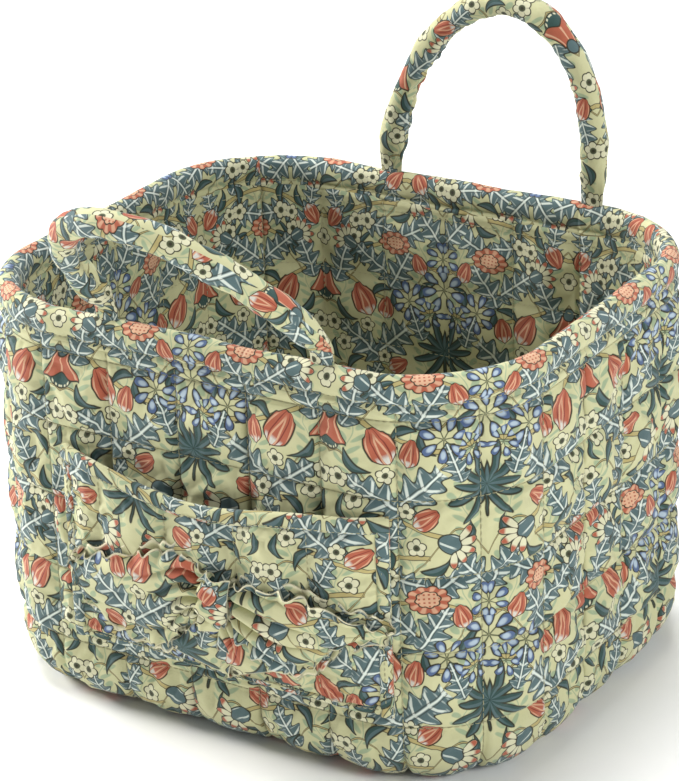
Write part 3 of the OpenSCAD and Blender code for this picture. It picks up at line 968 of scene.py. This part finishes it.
def simulate_wall():
    """Places round and up the wall of the simulated grid, and how the cloth moves there: how far out,
    and then its slide along x, y and z."""
    s, h = wall_steps()
    ss, hh = np.meshgrid(s, h, indexing="ij")
    flat, out = wall_place(ss, hh, STITCH_DEPTH)
    puff = PUFF * puff_shape(ss, hh)
    crumple = noise(ss, hh, 9.0, 3, GIRTH) * 0.5 + noise(ss, hh, 21.0, 4, GIRTH) * 0.7
    start = flat + out * (0.55 * puff + 0.25 * crumple * np.minimum(puff, 1.0))[..., None]
    on_seam = np.minimum(*seam_distances(ss, hh)) < 0.1
    held = on_seam | (hh <= WALL_END + 0.1) | (hh >= h[-1] - 0.1)
    moved = simulate("wall_cloth", start, held, True)
    away, slide = parted(moved - flat, out)
    away = np.clip(away * PUFF_GAIN, 0, MOST_PUFF)
    return s, h, np.concatenate([away[..., None], slide], -1)


def panel_ranges(steps):
    """First and last place of each wall panel on a grid with so many steps a column."""
    span = COLUMNS // PANELS * steps
    return [(k * span, (k + 1) * span) for k in range(PANELS)]


def wall_grid(s, h, swell, slide, depth, sign):
    """Points of the wall's cloth: depth in from the widest line, swollen out (sign 1) or in (sign -1)."""
    points, out = wall_place(s[:, None], h[None, :], depth)
    return points + out * (sign * swell)[..., None] + slide


def add_wall(cloth, lining, padding):
    """The quilted wall: printed panels outside and inside, with padding between."""
    s, h, moved = simulate_wall()
    fine = finer(moved, True)
    fine_s = FIRST_COLUMN + np.arange(COLUMNS * STEPS * 2) * PITCH / STEPS / 2
    fine_h = finer(np.repeat(h[None, :, None], 2, 0), False)[0, :, 0]
    ss, hh = np.broadcast_arrays(fine_s[:, None], fine_h[None, :])
    swell = room_for_pocket(ss, hh, fine[..., 0]) - SEAM_GROOVE * seam_share(ss, hh)
    outer = wall_grid(fine_s, fine_h, swell, fine[..., 1:], STITCH_DEPTH, 1)
    outer[..., 2] = np.maximum(outer[..., 2], LEAST_Z)
    turned = np.roll(moved[..., 0], LINING_SHIFT * STEPS, 0) * LINING_PUFF / PUFF
    inner = wall_grid(s, h, turned, 0, LINING_DEPTH, -1)
    for steps, grid, up, name, material, slot, node, order in (
            (2 * STEPS, outer, fine_h, "wall_outer", cloth, "print_cotton", "wall_outer_fabric", 1),
            (STEPS, inner, h, "wall_lining", lining, "print_lining", "wall_lining", -1)):
        for k, (first, last) in enumerate(panel_ranges(steps), 1):
            rows = np.arange(first, last + 1)[::order]
            uv = pairs(FIRST_COLUMN + rows * PITCH / steps, up)
            piece = thicken(grid_piece(f"{name}_{k}", grid[rows % len(grid)], uv, material))
            attach(piece, "root", [node])
            size = ((last - first) * PITCH / steps * MM, (up[-1] - up[0]) * MM)
    front = wall_grid(s, h, swell[::2, ::2], 0, STITCH_DEPTH + PAD_INSET, 1)
    behind = wall_grid(s, h, turned, 0, LINING_DEPTH - PAD_INSET, -1)
    ring = np.concatenate([front, behind[:, ::-1]], 1)
    pad = grid_piece("wall_padding", ring, None, padding, wrap_i=True, wrap_j=True)
    attach(pad, "root", ["wall_batting"])


def add_wall_stitches(thread):
    """Thread along the seams of the quilting, outside and in, and down the wall's joining seam."""
    rows = TOP_ROW - np.arange(ROWS) * ROW_PITCH
    around = np.linspace(0, GIRTH, 640)
    upright = np.linspace(WALL_END + 3, WALL_TOP - 3, 160)
    for name, depth, sign, node in (
            ("quilting_outer", STITCH_DEPTH + SEAM_GROOVE / 2, 1, "wall_quilt_thread_outer"),
            ("quilting_inner", LINING_DEPTH, -1, "wall_quilt_thread_inner")):
        runs = [wall_place(around, z, depth) for z in rows]
        runs += [wall_place(FIRST_COLUMN + n * PITCH, upright, depth) for n in range(COLUMNS)]
        sew(name, [(p, sign * out) for p, out in runs], thread, node)
    join = [wall_place(FIRST_COLUMN + 1.3, upright, STITCH_DEPTH)]
    sew("joining_seam", join, thread, "wall_join_thread", 3.0, 2.2)


# ---- Rim roll ----

RIM_SECTION = [                  # depth in and height under the crest, outside to inside
    (2.6, -21.5), (0.9, -21.0), (0.7, -19.2), (2.2, -17.0), (0.6, -14.6), (-0.6, -11.0), (-0.2, -6.0),
    (2.4, -1.9), (6.2, 0.0), (9.6, -0.7), (11.9, -2.4), (13.5, -5.4), (14.3, -10.0), (13.6, -14.6),
    (12.0, -17.0), (13.2, -19.2), (12.8, -21.2), (11.2, -21.5)]
RIM_MIDDLE = (7, -8)
RIM_STITCH_DOWN = -17.0
RIM_STITCH_DEPTHS = (2.2, 12.0)  # outside and inside
RIM_SEAM = 6.0                   # from the section's ends to its stitching, along the cloth
RIM_STEPS = 24                   # points a quilt column
PRINT_ON_RIM = TOP - 22


def add_rim(cloth, thread):
    """The rolled hem along the rim, gathered a little by its two rows of topstitching."""
    section = curve_through(RIM_SECTION, 56)
    s = FIRST_COLUMN + np.arange(COLUMNS * RIM_STEPS) * PITCH / RIM_STEPS
    grid, out = wall_place(s[:, None], TOP + section[None, :, 1], section[None, :, 0])
    length = distance_along(section)
    away = unit(section - RIM_MIDDLE)
    normal = -out * away[None, :, 0, None]
    normal[..., 2] += away[None, :, 1]
    near_seam = hump(length - RIM_SEAM, 7) + hump(length - length[-1] + RIM_SEAM, 7)
    gathers = noise(s[:, None] + length * 0.5, length[None, :], 6.5, 11, GIRTH)
    gathers = gathers * (0.25 + 0.75 * near_seam)
    lumps = noise(s[:, None], length[None, :], 34.0, 12, GIRTH)
    seam_line = 1 - hump(length - RIM_SEAM - 0.2, 2.0) * 0.8
    grid = grid + normal * ((gathers * 0.75 + lumps * 0.8) * seam_line)[..., None]
    closed = np.append(length, length[-1] + 9) + PRINT_ON_RIM
    for k, (first, last) in enumerate(panel_ranges(RIM_STEPS), 1):
        rows = np.arange(first, last + 1)
        uv = pairs(FIRST_COLUMN + rows * PITCH / RIM_STEPS, closed)
        piece = grid_piece(f"rim_roll_{k}", grid[rows % len(grid)], uv, cloth, wrap_j=True, caps=True)
        attach(piece, "root", ["rim_hem"])
    around = np.linspace(0, GIRTH, 900)
    outside, inside = (wall_place(around, TOP + RIM_STITCH_DOWN, depth) for depth in RIM_STITCH_DEPTHS)
    runs = [outside, (inside[0], -inside[1])]
    sew("rim_topstitching", runs, thread, "rim_topstitch_thread", 3.8, 2.9)


# ---- Bottom ----

BASE_TOP = cad_box("base_lining")[1][2]
BOARD_LOW = cad_box("base_stiffener")[0][2]
BASE_ROUND = 8                   # how far from a seam the bottom has mostly swollen


def base_grid(height, rings=44, count=300):
    """Points of a flat bottom inside the bend, from its edge to its middle, at a height given at x and y
    and at the share of the way out."""
    xy, _ = outline(np.arange(count) * GIRTH / count, np.full(count, BEND_R - 0.5))
    share = np.append(np.linspace(1, 0.02, rings) ** 0.9, 0.0)
    plan = xy[:, None, :] * share[None, :, None]
    z = np.broadcast_to(height(plan[..., 0], plan[..., 1], share[None, :]), plan.shape[:2])
    return np.concatenate([plan, z[..., None]], -1)


def base_puff(x, y):
    """Share of a full puff of the bottom's quilting, at x and y."""
    across, deep = edge_distance(x, 0, ROW_PITCH), edge_distance(y, 0, ROW_PITCH)
    return swelling(across, BASE_ROUND) * swelling(deep, BASE_ROUND)


def under_height(x, y, share):
    return 1.9 - 1.5 * base_puff(x, y) * smooth(1 - share, 0, 0.03)


def over_height(x, y, share):
    swell = 2.6 * base_puff(x, y) + 0.5 * noise(x, y, 14, 21)
    return BASE_TOP - 0.6 + swell * smooth(1 - share, 0, 0.05)


def base_seams():
    """The bottom's quilting, along x and y, as far as the bend leaves it flat."""
    runs = []
    room = BEND_R + 6
    along = np.linspace(-200, 200, 400)
    for n in range(-3, 4):
        for x, y in ((n * ROW_PITCH + 0 * along, along), (along, n * ROW_PITCH + 0 * along)):
            keep = (np.abs(x) < HALF_W - room) & (np.abs(y) < HALF_D - room)
            past_x = np.maximum(np.abs(x) - HALF_W + CORNER_R, 0)
            past_y = np.maximum(np.abs(y) - HALF_D + CORNER_R, 0)
            keep &= np.hypot(past_x, past_y) < CORNER_R - room
            if keep.sum() > 8:
                z = np.full(keep.sum(), BASE_TOP - 0.6)
                runs.append((np.stack([x[keep], y[keep], z], -1), np.tile(UP, (len(z), 1))))
    return runs


def add_base(cloth, lining, padding, board, thread):
    """The bottom: printed cloth under and over, padding, and the stiff board inside."""
    under, over = base_grid(under_height), base_grid(over_height)
    for name, grid, material, slot, node in (
            ("base_outer", under[:, ::-1], cloth, "print_cotton", "base_outer_fabric"),
            ("base_inside", over, lining, "print_lining", "base_lining")):
        piece = grid_piece(name, grid, np.concatenate([grid, grid[:1]])[..., :2], material, wrap_i=True)
        piece = thicken(welded(piece))
        attach(piece, "root", [node])
    low, high = (base_grid(lambda x, y, share: z, 6, 120) for z in (2.6, BOARD_LOW - 0.3))
    pad = np.concatenate([low[:, ::-1], high], 1)
    pad = welded(grid_piece("base_padding", pad, None, padding, wrap_i=True))
    attach(pad, "root", ["base_batting"])
    for slot in frame["nodes"]["base_stiffener"].material_slots:
        slot.material = board
    sew("base_quilting", base_seams(), thread, "base_quilt_thread")
    seam, _ = outline(np.linspace(0, GIRTH, 500), np.full(500, BEND_R + 1.5))
    seam = np.concatenate([seam, np.full((500, 1), BASE_TOP - 0.4)], 1)
    sew("base_seam", [(seam, np.tile(UP, (500, 1)))], thread, "base_seam_thread", 3.4, 2.6)


# ---- Pocket ----

POCKET_COLUMNS = [FIRST_COLUMN + n * PITCH for n in (8, 9, 10, 11)]
HEM_DROP = 9.0
PRINT_ON_POCKET = (36.0, 22.0)   # how far the pocket's cloth is shifted from the wall's print


def pocket_spot(x, v, out):
    """A point of the pocket: x across, v from 0 at its foot to 1 at its mouth, out from its back."""
    x, v, out = (np.array(a, float) for a in np.broadcast_arrays(x, v, out))
    z = POCKET_Z + v * (mouth_z(x) - POCKET_Z)
    stretched = POCKET_Z + v * POCKET_H
    y = wall_y(x) - POCKET_GAP - belly(x, stretched) - out
    return np.stack([x, y, z], -1)


def pocket_outward(x, v):
    """Directions out of the pocket's face."""
    a = pocket_spot(x + 0.5, v, 0) - pocket_spot(x - 0.5, v, 0)
    b = pocket_spot(x, v + 0.004, 0) - pocket_spot(x, v - 0.004, 0)
    return unit(np.cross(a, b))


def pocket_line(x, v, out):
    """A line on the pocket and the directions out of it, for stitching."""
    return pocket_spot(x, v, out), pocket_outward(x, v)


def seam_gap(x, inset):
    """Distance from x to the pocket's nearest upright seam, the outer ones an inset from its edges."""
    seams = POCKET_COLUMNS + [POCKET_LEFT + inset, POCKET_RIGHT - inset]
    return np.min([np.abs(x - c) for c in seams], axis=0)


def pocket_puff(x, v):
    """Swelling of the pocket's face between its seams, with small puckers beside them."""
    gap = seam_gap(x, 7)
    ends = np.maximum(np.minimum(v * POCKET_H - 5, (1 - v) * POCKET_H - HEM_DROP + 1), 0)
    swell = swelling(gap, 8) * swelling(ends, 7)
    pucker = noise(x * 0.6, v * POCKET_H, 8.0, 31) * np.exp(-gap / 9)
    pucker = pucker + 0.5 * noise(x, v * POCKET_H, 16.0, 32)
    return 3.2 * swell + 0.8 * pucker * np.minimum(swell * 3, 1)


def simulate_pocket():
    x = np.linspace(POCKET_LEFT + 1, POCKET_RIGHT - 1, 96)
    v = np.linspace(0.01, 0.985, 56)
    xx, vv = np.meshgrid(x, v, indexing="ij")
    flat, out = pocket_line(xx, vv, POCKET_T - 1.0)
    puff = pocket_puff(xx, vv)
    held = seam_gap(xx, 6) < (x[1] - x[0]) * 0.51
    held |= (xx < POCKET_LEFT + 6) | (xx > POCKET_RIGHT - 6)
    held |= (vv < 0.05) | (vv > 1 - HEM_DROP / POCKET_H)
    start = flat + out * (0.5 * puff)[..., None]
    moved = simulate("pocket_cloth", start, held, False)
    away, slide = parted(moved - flat, out)
    return xx, vv, flat + out * np.clip(away, -0.5, 6.0)[..., None] + slide


def strip_piece(name, node, centres, sides, outs, half_wide, half_thick, material, wobble, seed):
    """A flat folded strip along a path: a closed roll with a rounded oblong section."""
    turn = np.linspace(0, 2 * math.pi, 20, endpoint=False)
    hand = -np.sign(np.sum(np.cross(sides, outs) * np.gradient(centres, axis=0)))
    across = hand * signed_power(np.cos(turn), 0.6) * half_wide
    deep = signed_power(np.sin(turn), 0.6) * half_thick
    grid = centres[:, None] + sides[:, None] * across[None, :, None] + outs[:, None] * deep[None, :, None]
    way = distance_along(centres)
    ripple = noise(way[:, None] + across * 0.6, turn[None, :] * 4, 7.0, seed) * wobble
    grid = grid + outs[:, None] * (ripple * (deep > 0))[..., None]
    around = np.append(turn, 2 * math.pi) * (half_wide + half_thick) * 0.64
    piece = grid_piece(name, grid, pairs(way + seed * 37, around), material, wrap_j=True, caps=True)
    attach(piece, "root", [node])


def add_pocket(cloth, lining, padding):
    """The quilted pocket on the front and its turned edges."""
    xx, vv, face = simulate_pocket()
    face = finer(face, False)
    up = finer(np.stack([xx, vv * POCKET_H + POCKET_Z, 0 * xx], -1), False)[..., :2]
    front = thicken(grid_piece("pocket_front", face, up + PRINT_ON_POCKET, cloth))
    attach(front, "root", ["pocket_outer_fabric"])
    back = grid_piece("pocket_back", pocket_spot(xx, vv, 0.3)[::-1], up[::2, ::2][::-1], lining)
    back = thicken(back, 0.7)
    attach(back, "root", ["pocket_lining"])
    size = (2 * POCKET_HALF * MM, POCKET_H * MM)
    outer = face[::2, ::2] - pocket_outward(xx, vv) * 1.3
    ring = np.concatenate([outer, pocket_spot(xx, vv, 1.2)[:, ::-1]], 1)
    pad = grid_piece("pocket_padding", ring, None, padding, wrap_j=True, caps=True)
    attach(pad, "root", ["pocket_batting"])
    x = np.linspace(POCKET_LEFT + 0.5, POCKET_RIGHT - 0.5, 130)
    z_axis = np.tile(UP, (len(x), 1))
    mouth = pocket_spot(x, 1.0, POCKET_T / 2) - z_axis * 4.0
    upward = unit(pocket_spot(x, 1.0, 0) - pocket_spot(x, 0.97, 0))
    strip_piece("pocket_mouth_cloth", "pocket_mouth_hem", mouth, upward, pocket_outward(x, 0.99),
                5.0, 3.0, cloth, 0.7, 5)
    v = np.linspace(0.0, 1.0, 80)
    for edge, node, seed in (
            (POCKET_LEFT + 4, "pocket_left_edge", 5), (POCKET_RIGHT - 4, "pocket_right_edge", 7)):
        place = pocket_spot(edge, v, POCKET_T / 2 - 0.2)
        way = unit(pocket_spot(edge + 0.5, v, 0) - pocket_spot(edge - 0.5, v, 0))
        strip_piece(node + "_cloth", node, place, way, pocket_outward(edge, v),
                    4.2, 2.9, cloth, 0.6, seed)
    foot = pocket_spot(x, 0.0, POCKET_T / 2 - 0.4) + z_axis * 4.0
    strip_piece("pocket_bottom_cloth", "pocket_bottom_edge", foot, z_axis, pocket_outward(x, 0.02),
                4.0, 2.6, cloth, 0.6, 9)


def add_pocket_stitches(thread):
    """Thread of the pocket's quilting, of its hem, and of the seam that holds it on the wall."""
    v = np.linspace(0.07, 1 - (HEM_DROP + 1) / POCKET_H, 90)
    upright = [pocket_line(c, v, POCKET_T - 0.9) for c in POCKET_COLUMNS]
    sew("pocket_quilting", upright, thread, "pocket_quilt_thread")
    x = np.linspace(POCKET_LEFT + 3, POCKET_RIGHT - 3, 160)
    hem = pocket_line(x, 1 - (HEM_DROP - 1.5) / POCKET_H, POCKET_T + 0.45)
    sew("pocket_hem_stitching", [hem], thread, "pocket_hem_thread", 3.8, 2.9)
    v = np.linspace(0.03, 0.99, 90)
    runs = [pocket_line(c, v, POCKET_T + 0.3) for c in (POCKET_LEFT + 3.6, POCKET_RIGHT - 3.6)]
    runs.append(pocket_line(x, 0.035, POCKET_T - 0.1))
    sew("pocket_edge_stitching", runs, thread, "pocket_attach_thread", 3.8, 2.9)


# ---- Bow ----

BOW_X, BOW_Z = 22.0, 112.0       # middle of the knot
BOW_ROWS, BOW_COLUMNS = 112, 88
BOW_CLOTH = 0.45
REAR_OUT = 2.2                   # how far a loop's rear layer stands off the pocket
RAW_EDGE = 0.955                 # share of the half width at which a raw edge starts to fray
FRAY_GAP = 0.8                   # between loose yarns


def on_pocket(x, z, out):
    """A point beside the middle of the bow's knot, out from the pocket's face."""
    x, z = x + BOW_X, z + BOW_Z
    y = wall_y(x) - POCKET_GAP - belly(x, z) - POCKET_T - out
    return np.stack(np.broadcast_arrays(x, y, z), -1)


def ruffle(run, side, length, seed):
    """Waves along a raw edge, uneven in length, from -1 to 1."""
    return np.sin(run * 2 * math.pi / length + seed + side + 1.6 * noise(run, side * 9.0, 13.0, seed + 5))


def bow_cloth(name, upper, lower, lift, folds, material, seed, loop=False, shift=(0, 0), base=3.4):
    """A gathered piece of bow from the knot outwards, between an upper and a lower edge. A loop runs out
    behind, where it is a little wider, and comes back in front."""
    reach = np.linspace(0, 1, BOW_ROWS)
    r = np.concatenate([reach, reach[::-1]]) if loop else reach
    rear = ((np.arange(len(r)) < BOW_ROWS) & loop)[:, None] * 1.0
    spot = np.round(r * (BOW_ROWS - 1)).astype(int)
    high, low = (curve_through(edge, BOW_ROWS)[spot] for edge in (upper, lower))
    r, t = np.meshgrid(r, np.linspace(-1, 1, BOW_COLUMNS), indexing="ij")
    plan = low[:, None] + (high - low)[:, None] * (t[..., None] + 1) / 2
    run = r * distance_along(high[:BOW_ROWS] + low[:BOW_ROWS])[-1] / 2
    side, edge = np.sign(t), np.abs(t) ** 5
    wave = ruffle(run + rear * 31, side * 2, 15.0, seed)
    spread = 1.7 * ruffle(run + rear * 17, side, 11.0, seed + 2) + 5.6 * rear * smooth(r, 0, 0.2)
    plan[..., 1] += edge * side * spread
    swell = np.sin(math.pi * np.clip(r * 0.9 + 0.07, 0, 1)) ** 0.6 * (1 - 0.42 * t ** 2)
    fading = hump(r, 0.5) * (1 - 0.35 * t ** 2)
    pleats = (np.abs(np.sin(folds * (t + 0.25 * r) * math.pi / 2 + seed)) ** 0.7 - 0.62) * fading
    soft = noise(run, t * 26, 15.0, seed + 1) * smooth(r, 0.15, 0.5)
    pinch = smooth(r, 0.0, 0.13)
    behind = np.maximum(REAR_OUT + (1.9 * wave + 1.2) * edge * pinch + 0.5 * soft, 1.6)
    front = base + (lift * swell + 8.5 * pleats + 1.7 * soft + 3.3 * wave * edge) * pinch
    front = np.maximum(front, (REAR_OUT + 1.8) if loop else 1.7)
    closing = smooth(r, 0.92, 1.0) * loop
    front = front * (1 - closing) + (behind + 1.4) * closing
    grid = on_pocket(plan[..., 0], plan[..., 1], np.where(rear > 0, behind, front))
    cloth_spot = np.stack([plan[..., 0] + shift[0] + rear * 60, plan[..., 1] + shift[1]], -1)
    piece = grid_piece(name, grid, cloth_spot, material)
    raw = np.abs(t) if loop else np.maximum(np.abs(t), smooth(r, 0.9, 1.0))
    mark = piece.data.attributes.new("raw_edge", "FLOAT", "POINT")
    mark.data.foreach_set("value", smooth(raw, RAW_EDGE, 0.995).ravel())
    piece = attach(thicken(piece, BOW_CLOTH), "root", [name.removesuffix("_cloth")])
    rims = [grid[:, 0], grid[:, -1]] + ([] if loop else [grid[-1]])
    return [(rim, grid.mean((0, 1))) for rim in rims]


def add_fray(rims, material):
    """Loose yarns along the raw edges of the bow, each with three rings of three points."""
    rng = np.random.default_rng(77)
    points, faces = [], []
    for rim, middle in rims:
        way = distance_along(rim)
        base = places_at(np.arange(FRAY_GAP / 2, way[-1], FRAY_GAP), way, rim)
        along = unit(np.gradient(base, axis=0))
        away = unit(parted(unit(base - middle), along)[1])
        for p, d, a in zip(base, away, along):
            d = unit(d + a * rng.uniform(-0.9, 0.9) + rng.uniform(-0.35, 0.35, 3))
            length = rng.uniform(0.5, 1.3)
            side = unit(np.cross(d, (0.3, 1.0, 0.2)))
            up = np.cross(d, side)
            bend = side * rng.uniform(-0.5, 0.5) * length
            start = len(points)
            for share, thick in ((-0.4, 0.16), (0.5, 0.13), (1.0, 0.05)):
                centre = p + d * length * share + bend * share ** 2
                points += [centre + thick * (side * math.cos(k) + up * math.sin(k))
                           for k in (0.0, 2.09, 4.19)]
            for ring in (0, 3):
                faces += [[start + ring + k, start + ring + (k + 1) % 3, start + ring + 3 + (k + 1) % 3,
                           start + ring + 3 + k] for k in range(3)]
            faces += [[start + 2, start + 1, start], [start + 6, start + 7, start + 8]]
    count = sum(len(f) for f in faces)
    attach(add_piece("bow_fray", points, faces, np.zeros((count, 2)), material), "root")


BOW_PIECES = (                   # name, upper and lower edge from the knot out, lift, folds, seed, rest
    ("bow_left_tail_cloth", [(-3, -8), (-22, -20), (-44, -43)], [(3, -10), (5, -34), (1, -56)],
     4.2, 2.6, 7, {"shift": (130, 40), "base": 2.6}),
    ("bow_right_tail_cloth", [(7, -9), (20, -24), (40, -39)], [(-3, -10), (-3, -34), (-5, -57)],
     4.6, 2.2, 9, {"shift": (-40, 60), "base": 2.8}),
    ("bow_left_loop_cloth", [(2, 17), (-22, 31), (-54, 24), (-100, 9), (-120, -4)],
     [(-4, -9), (-25, -20), (-46, -42), (-82, -37), (-112, -16)], 7.5, 5.0, 1,
     {"loop": True, "shift": (20, 12)}),
    ("bow_right_loop_cloth", [(6, 16), (30, 21), (63, 20), (98, 10), (117, 2)],
     [(4, -10), (20, -26), (42, -37), (66, -28), (84, -9), (112, 0)], 7.5, 4.0, 4,
     {"loop": True, "shift": (75, -30)}),
    ("bow_knot_cloth", [(-8, 20), (2, 26), (13, 19)], [(-15, -13), (-5, -18), (8, -12)],
     8.0, 3.0, 12, {"shift": (10, -70), "base": 7.5}))


def add_bow(material, thread):
    """The gathered bow on the pocket, in two tails, two loops and a knot."""
    rims = []
    for name, upper, lower, lift, folds, seed, rest in BOW_PIECES:
        rims += bow_cloth(name, upper, lower, lift, folds, material, seed, **rest)
    add_fray(rims, thread)


# ---- Handles ----

HANDLE_SPAN, HANDLE_R = 156.0, 9.0
FOOT_DEEP = 17.0                 # how far a foot goes down into the rim
FOOT_STEPS, ARCH_STEPS, ROUND_STEPS = 9, 180, 44
HANDLE_STEP = 1.7                # between points along a handle
SOFTENING = 14                   # rounds of smoothing, which ease the turn from foot to arch
FLAT_THICK, FLAT_WIDE = 2.6, 8.0  # half sizes of a foot
TAB_HALF, TAB_THICK = 6.6, 1.2
TAB_ROUND, TAB_ROWS = 16, 12
HANDLES = (                      # name, lean outwards in degrees, skew and rise of its crown, and seed
    ("front_handle", 40, -19.0, 107.0, 41),
    ("back_handle", 0, 16.0, 120.0, 52))


def soften(path):
    """Rounds off a path, keeping its ends."""
    for _ in range(SOFTENING):
        path = np.concatenate([path[:1], (path[:-2] + 2 * path[1:-1] + path[2:]) / 4, path[-1:]])
    return path


def handle_lines(pivot, tilt, skew, rise):
    """The centre line of a handle from foot to foot, the directions square to its plane and out of its
    arch, and the distances from its nearer foot's hinge and from its start."""
    foot = np.linspace(-FOOT_DEEP, -1, FOOT_STEPS)
    a = np.linspace(0, math.pi, ARCH_STEPS)
    square = np.array([0.0, tilt[2], -tilt[1]])
    arch = (np.stack([-HANDLE_SPAN / 2 * np.cos(a) + skew * np.sin(a), 0 * a, 0 * a], -1)
            + tilt * (rise * np.sin(a))[:, None])
    left = np.stack([0 * foot - HANDLE_SPAN / 2, 0 * foot, foot], -1)
    right = left[::-1] * (-1, 1, 1)
    path = np.concatenate([left, arch, right]) + pivot
    back = np.tile((0.0, 1.0, 0.0), (FOOT_STEPS, 1))
    turned = np.concatenate([back, np.tile(square, (ARCH_STEPS, 1)), back])
    way = distance_along(path)
    at = np.linspace(0, way[-1], int(way[-1] / HANDLE_STEP))
    path, turned = soften(places_at(at, way, path)), soften(places_at(at, way, turned))
    heading = unit(np.gradient(path, axis=0))
    turned = unit(parted(turned, heading)[1])
    from_foot = np.minimum(at, way[-1] - at) - FOOT_DEEP
    return path, turned, np.cross(heading, turned), from_foot, at


def handle_grid(lines, shrink, seed):
    """Points of a stuffed tube along a handle, flat at its feet and gathered along its inner seam."""
    path, square, outer, from_foot, at = lines
    turn = np.linspace(0, 2 * math.pi, ROUND_STEPS, endpoint=False)
    d, phi = np.meshgrid(from_foot, turn, indexing="ij")
    way = np.broadcast_to(at[:, None], d.shape)
    full = smooth(d, -9, 17)
    thick = FLAT_THICK + (HANDLE_R - FLAT_THICK) * full
    wide = FLAT_WIDE + (HANDLE_R - FLAT_WIDE) * full + 0.9 * hump(d - 13, 9)
    from_seam = np.abs(phi - math.pi)
    near_seam = hump(from_seam, 0.75)
    gathers = noise(way + 2.2 * np.cos(phi), from_seam * 8, 4.6, seed) * (0.30 + 0.9 * near_seam) * 1.1
    groove = 1.5 * hump(from_seam, 0.22) * full
    lumps = noise(way, np.sin(phi) * 9, 15.0, seed + 1) * 1.15
    pleats = np.cos(phi * 7 + seed) * 0.5 * (1 - full) * smooth(d, -14, -4)
    swell = (gathers + lumps - groove) * (0.15 + 0.85 * full) + pleats - shrink
    wide, thick = wide + swell, thick + swell * np.clip(thick / 6, 0.3, 1)
    return (path[:, None] + outer[:, None] * (wide * np.cos(phi))[..., None]
            + square[:, None] * (thick * np.sin(phi))[..., None])


def add_handle(name, lean, skew, rise, seed, cloth, padding, thread):
    """One carrying handle: its padded cover, stuffing, seam and sewn-in tabs."""
    joint = next(j for j in frame["record"]["behaviour"]["joints"] if j["name"] == name + "_fold")
    pivot = np.array(joint["pos_m"]) / MM
    lean = math.radians(lean)
    tilt = np.array([0.0, -math.sin(lean), math.cos(lean)])
    lines = handle_lines(pivot, tilt, skew, rise)
    grid = handle_grid(lines, 0.0, seed)
    outer, from_foot, at = lines[2:]
    around = np.linspace(0, 2 * math.pi * HANDLE_R, ROUND_STEPS + 1)
    uv = pairs(at, around)[..., ::-1] + (seed * 31, seed * 17)
    cover = grid_piece(name + "_cloth", grid, uv, cloth, wrap_j=True, caps=True)
    core_grid = handle_grid(lines, 1.3, seed)[3:-3]
    core = grid_piece(name + "_stuffing", core_grid, uv[3:-3], padding, wrap_j=True, caps=True)
    free = from_foot > 4
    seam_line = [(grid[free, ROUND_STEPS // 2], -outer[free])]
    seam = stitch_piece(name + "_seam", seam_line, thread, 3.4, 2.4)
    for piece, slot, part in ((cover, "print_cotton", "cover"), (core, "padding", "core"),
                              (seam, "thread", "seam_thread")):
        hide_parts(f"{name}_{part}")
        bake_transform(piece)
    add_tabs(name, cloth)


def add_tabs(name, cloth):
    """The folded cloth tabs that hold a handle in the rim."""
    low, high = cad_box(name + "_tabs")
    points, faces = [], []
    turn = np.linspace(0, 2 * math.pi, TAB_ROUND, endpoint=False)
    z = np.linspace(low[2] + 1, high[2] + 6.0, TAB_ROWS)
    x, y = (low[:2] + high[:2]) / 2
    for side in (-1, 1):
        across = x + side * HANDLE_SPAN / 2 + TAB_HALF * signed_power(np.cos(turn), 0.5)
        ring = np.stack([across, y + TAB_THICK * np.sin(turn)], -1)
        start = len(points)
        points += [(px, py, pz) for pz in z for px, py in ring]
        tube = grid_faces(TAB_ROWS, TAB_ROUND, False, True)[0]
        faces += [[start + f for f in face[::-1]] for face in tube]
        foot = [start + k for k in range(TAB_ROUND)]
        faces += [foot[::-1], [k + (TAB_ROWS - 1) * TAB_ROUND for k in foot]]
    flat = np.array([points[k] for f in faces for k in f])[:, [0, 2]]
    piece = add_piece(name + "_tabs_cloth", points, faces, flat, cloth)
    attach(piece, "root", [name + "_tabs"])


# ---- The whole scene ----

def main():
    add_camera()
    add_studio()
    group = print_group()
    cloth = print_material("printed_cotton", group, (-FRONT / 2 + 10, -204.0))
    lining = print_material("printed_lining", group, (31.0, -150.0))
    bow = print_material("printed_bow_cotton", group, (0.0, 0.0), frayed=True)
    padding = fibre_material("polyester_padding", PADDING_COLOUR, 700.0, 0.0006)
    board = fibre_material("grey_board", BOARD_COLOUR, 260.0, 0.0002, 0.8)
    thread = thread_material()
    add_wall(cloth, lining, padding)
    add_wall_stitches(thread)
    add_rim(cloth, thread)
    add_base(cloth, lining, padding, board, thread)
    add_pocket(cloth, lining, padding)
    add_pocket_stitches(thread)
    add_bow(bow, thread)
    for handle in HANDLES:
        add_handle(*handle, cloth, padding, thread)


main()
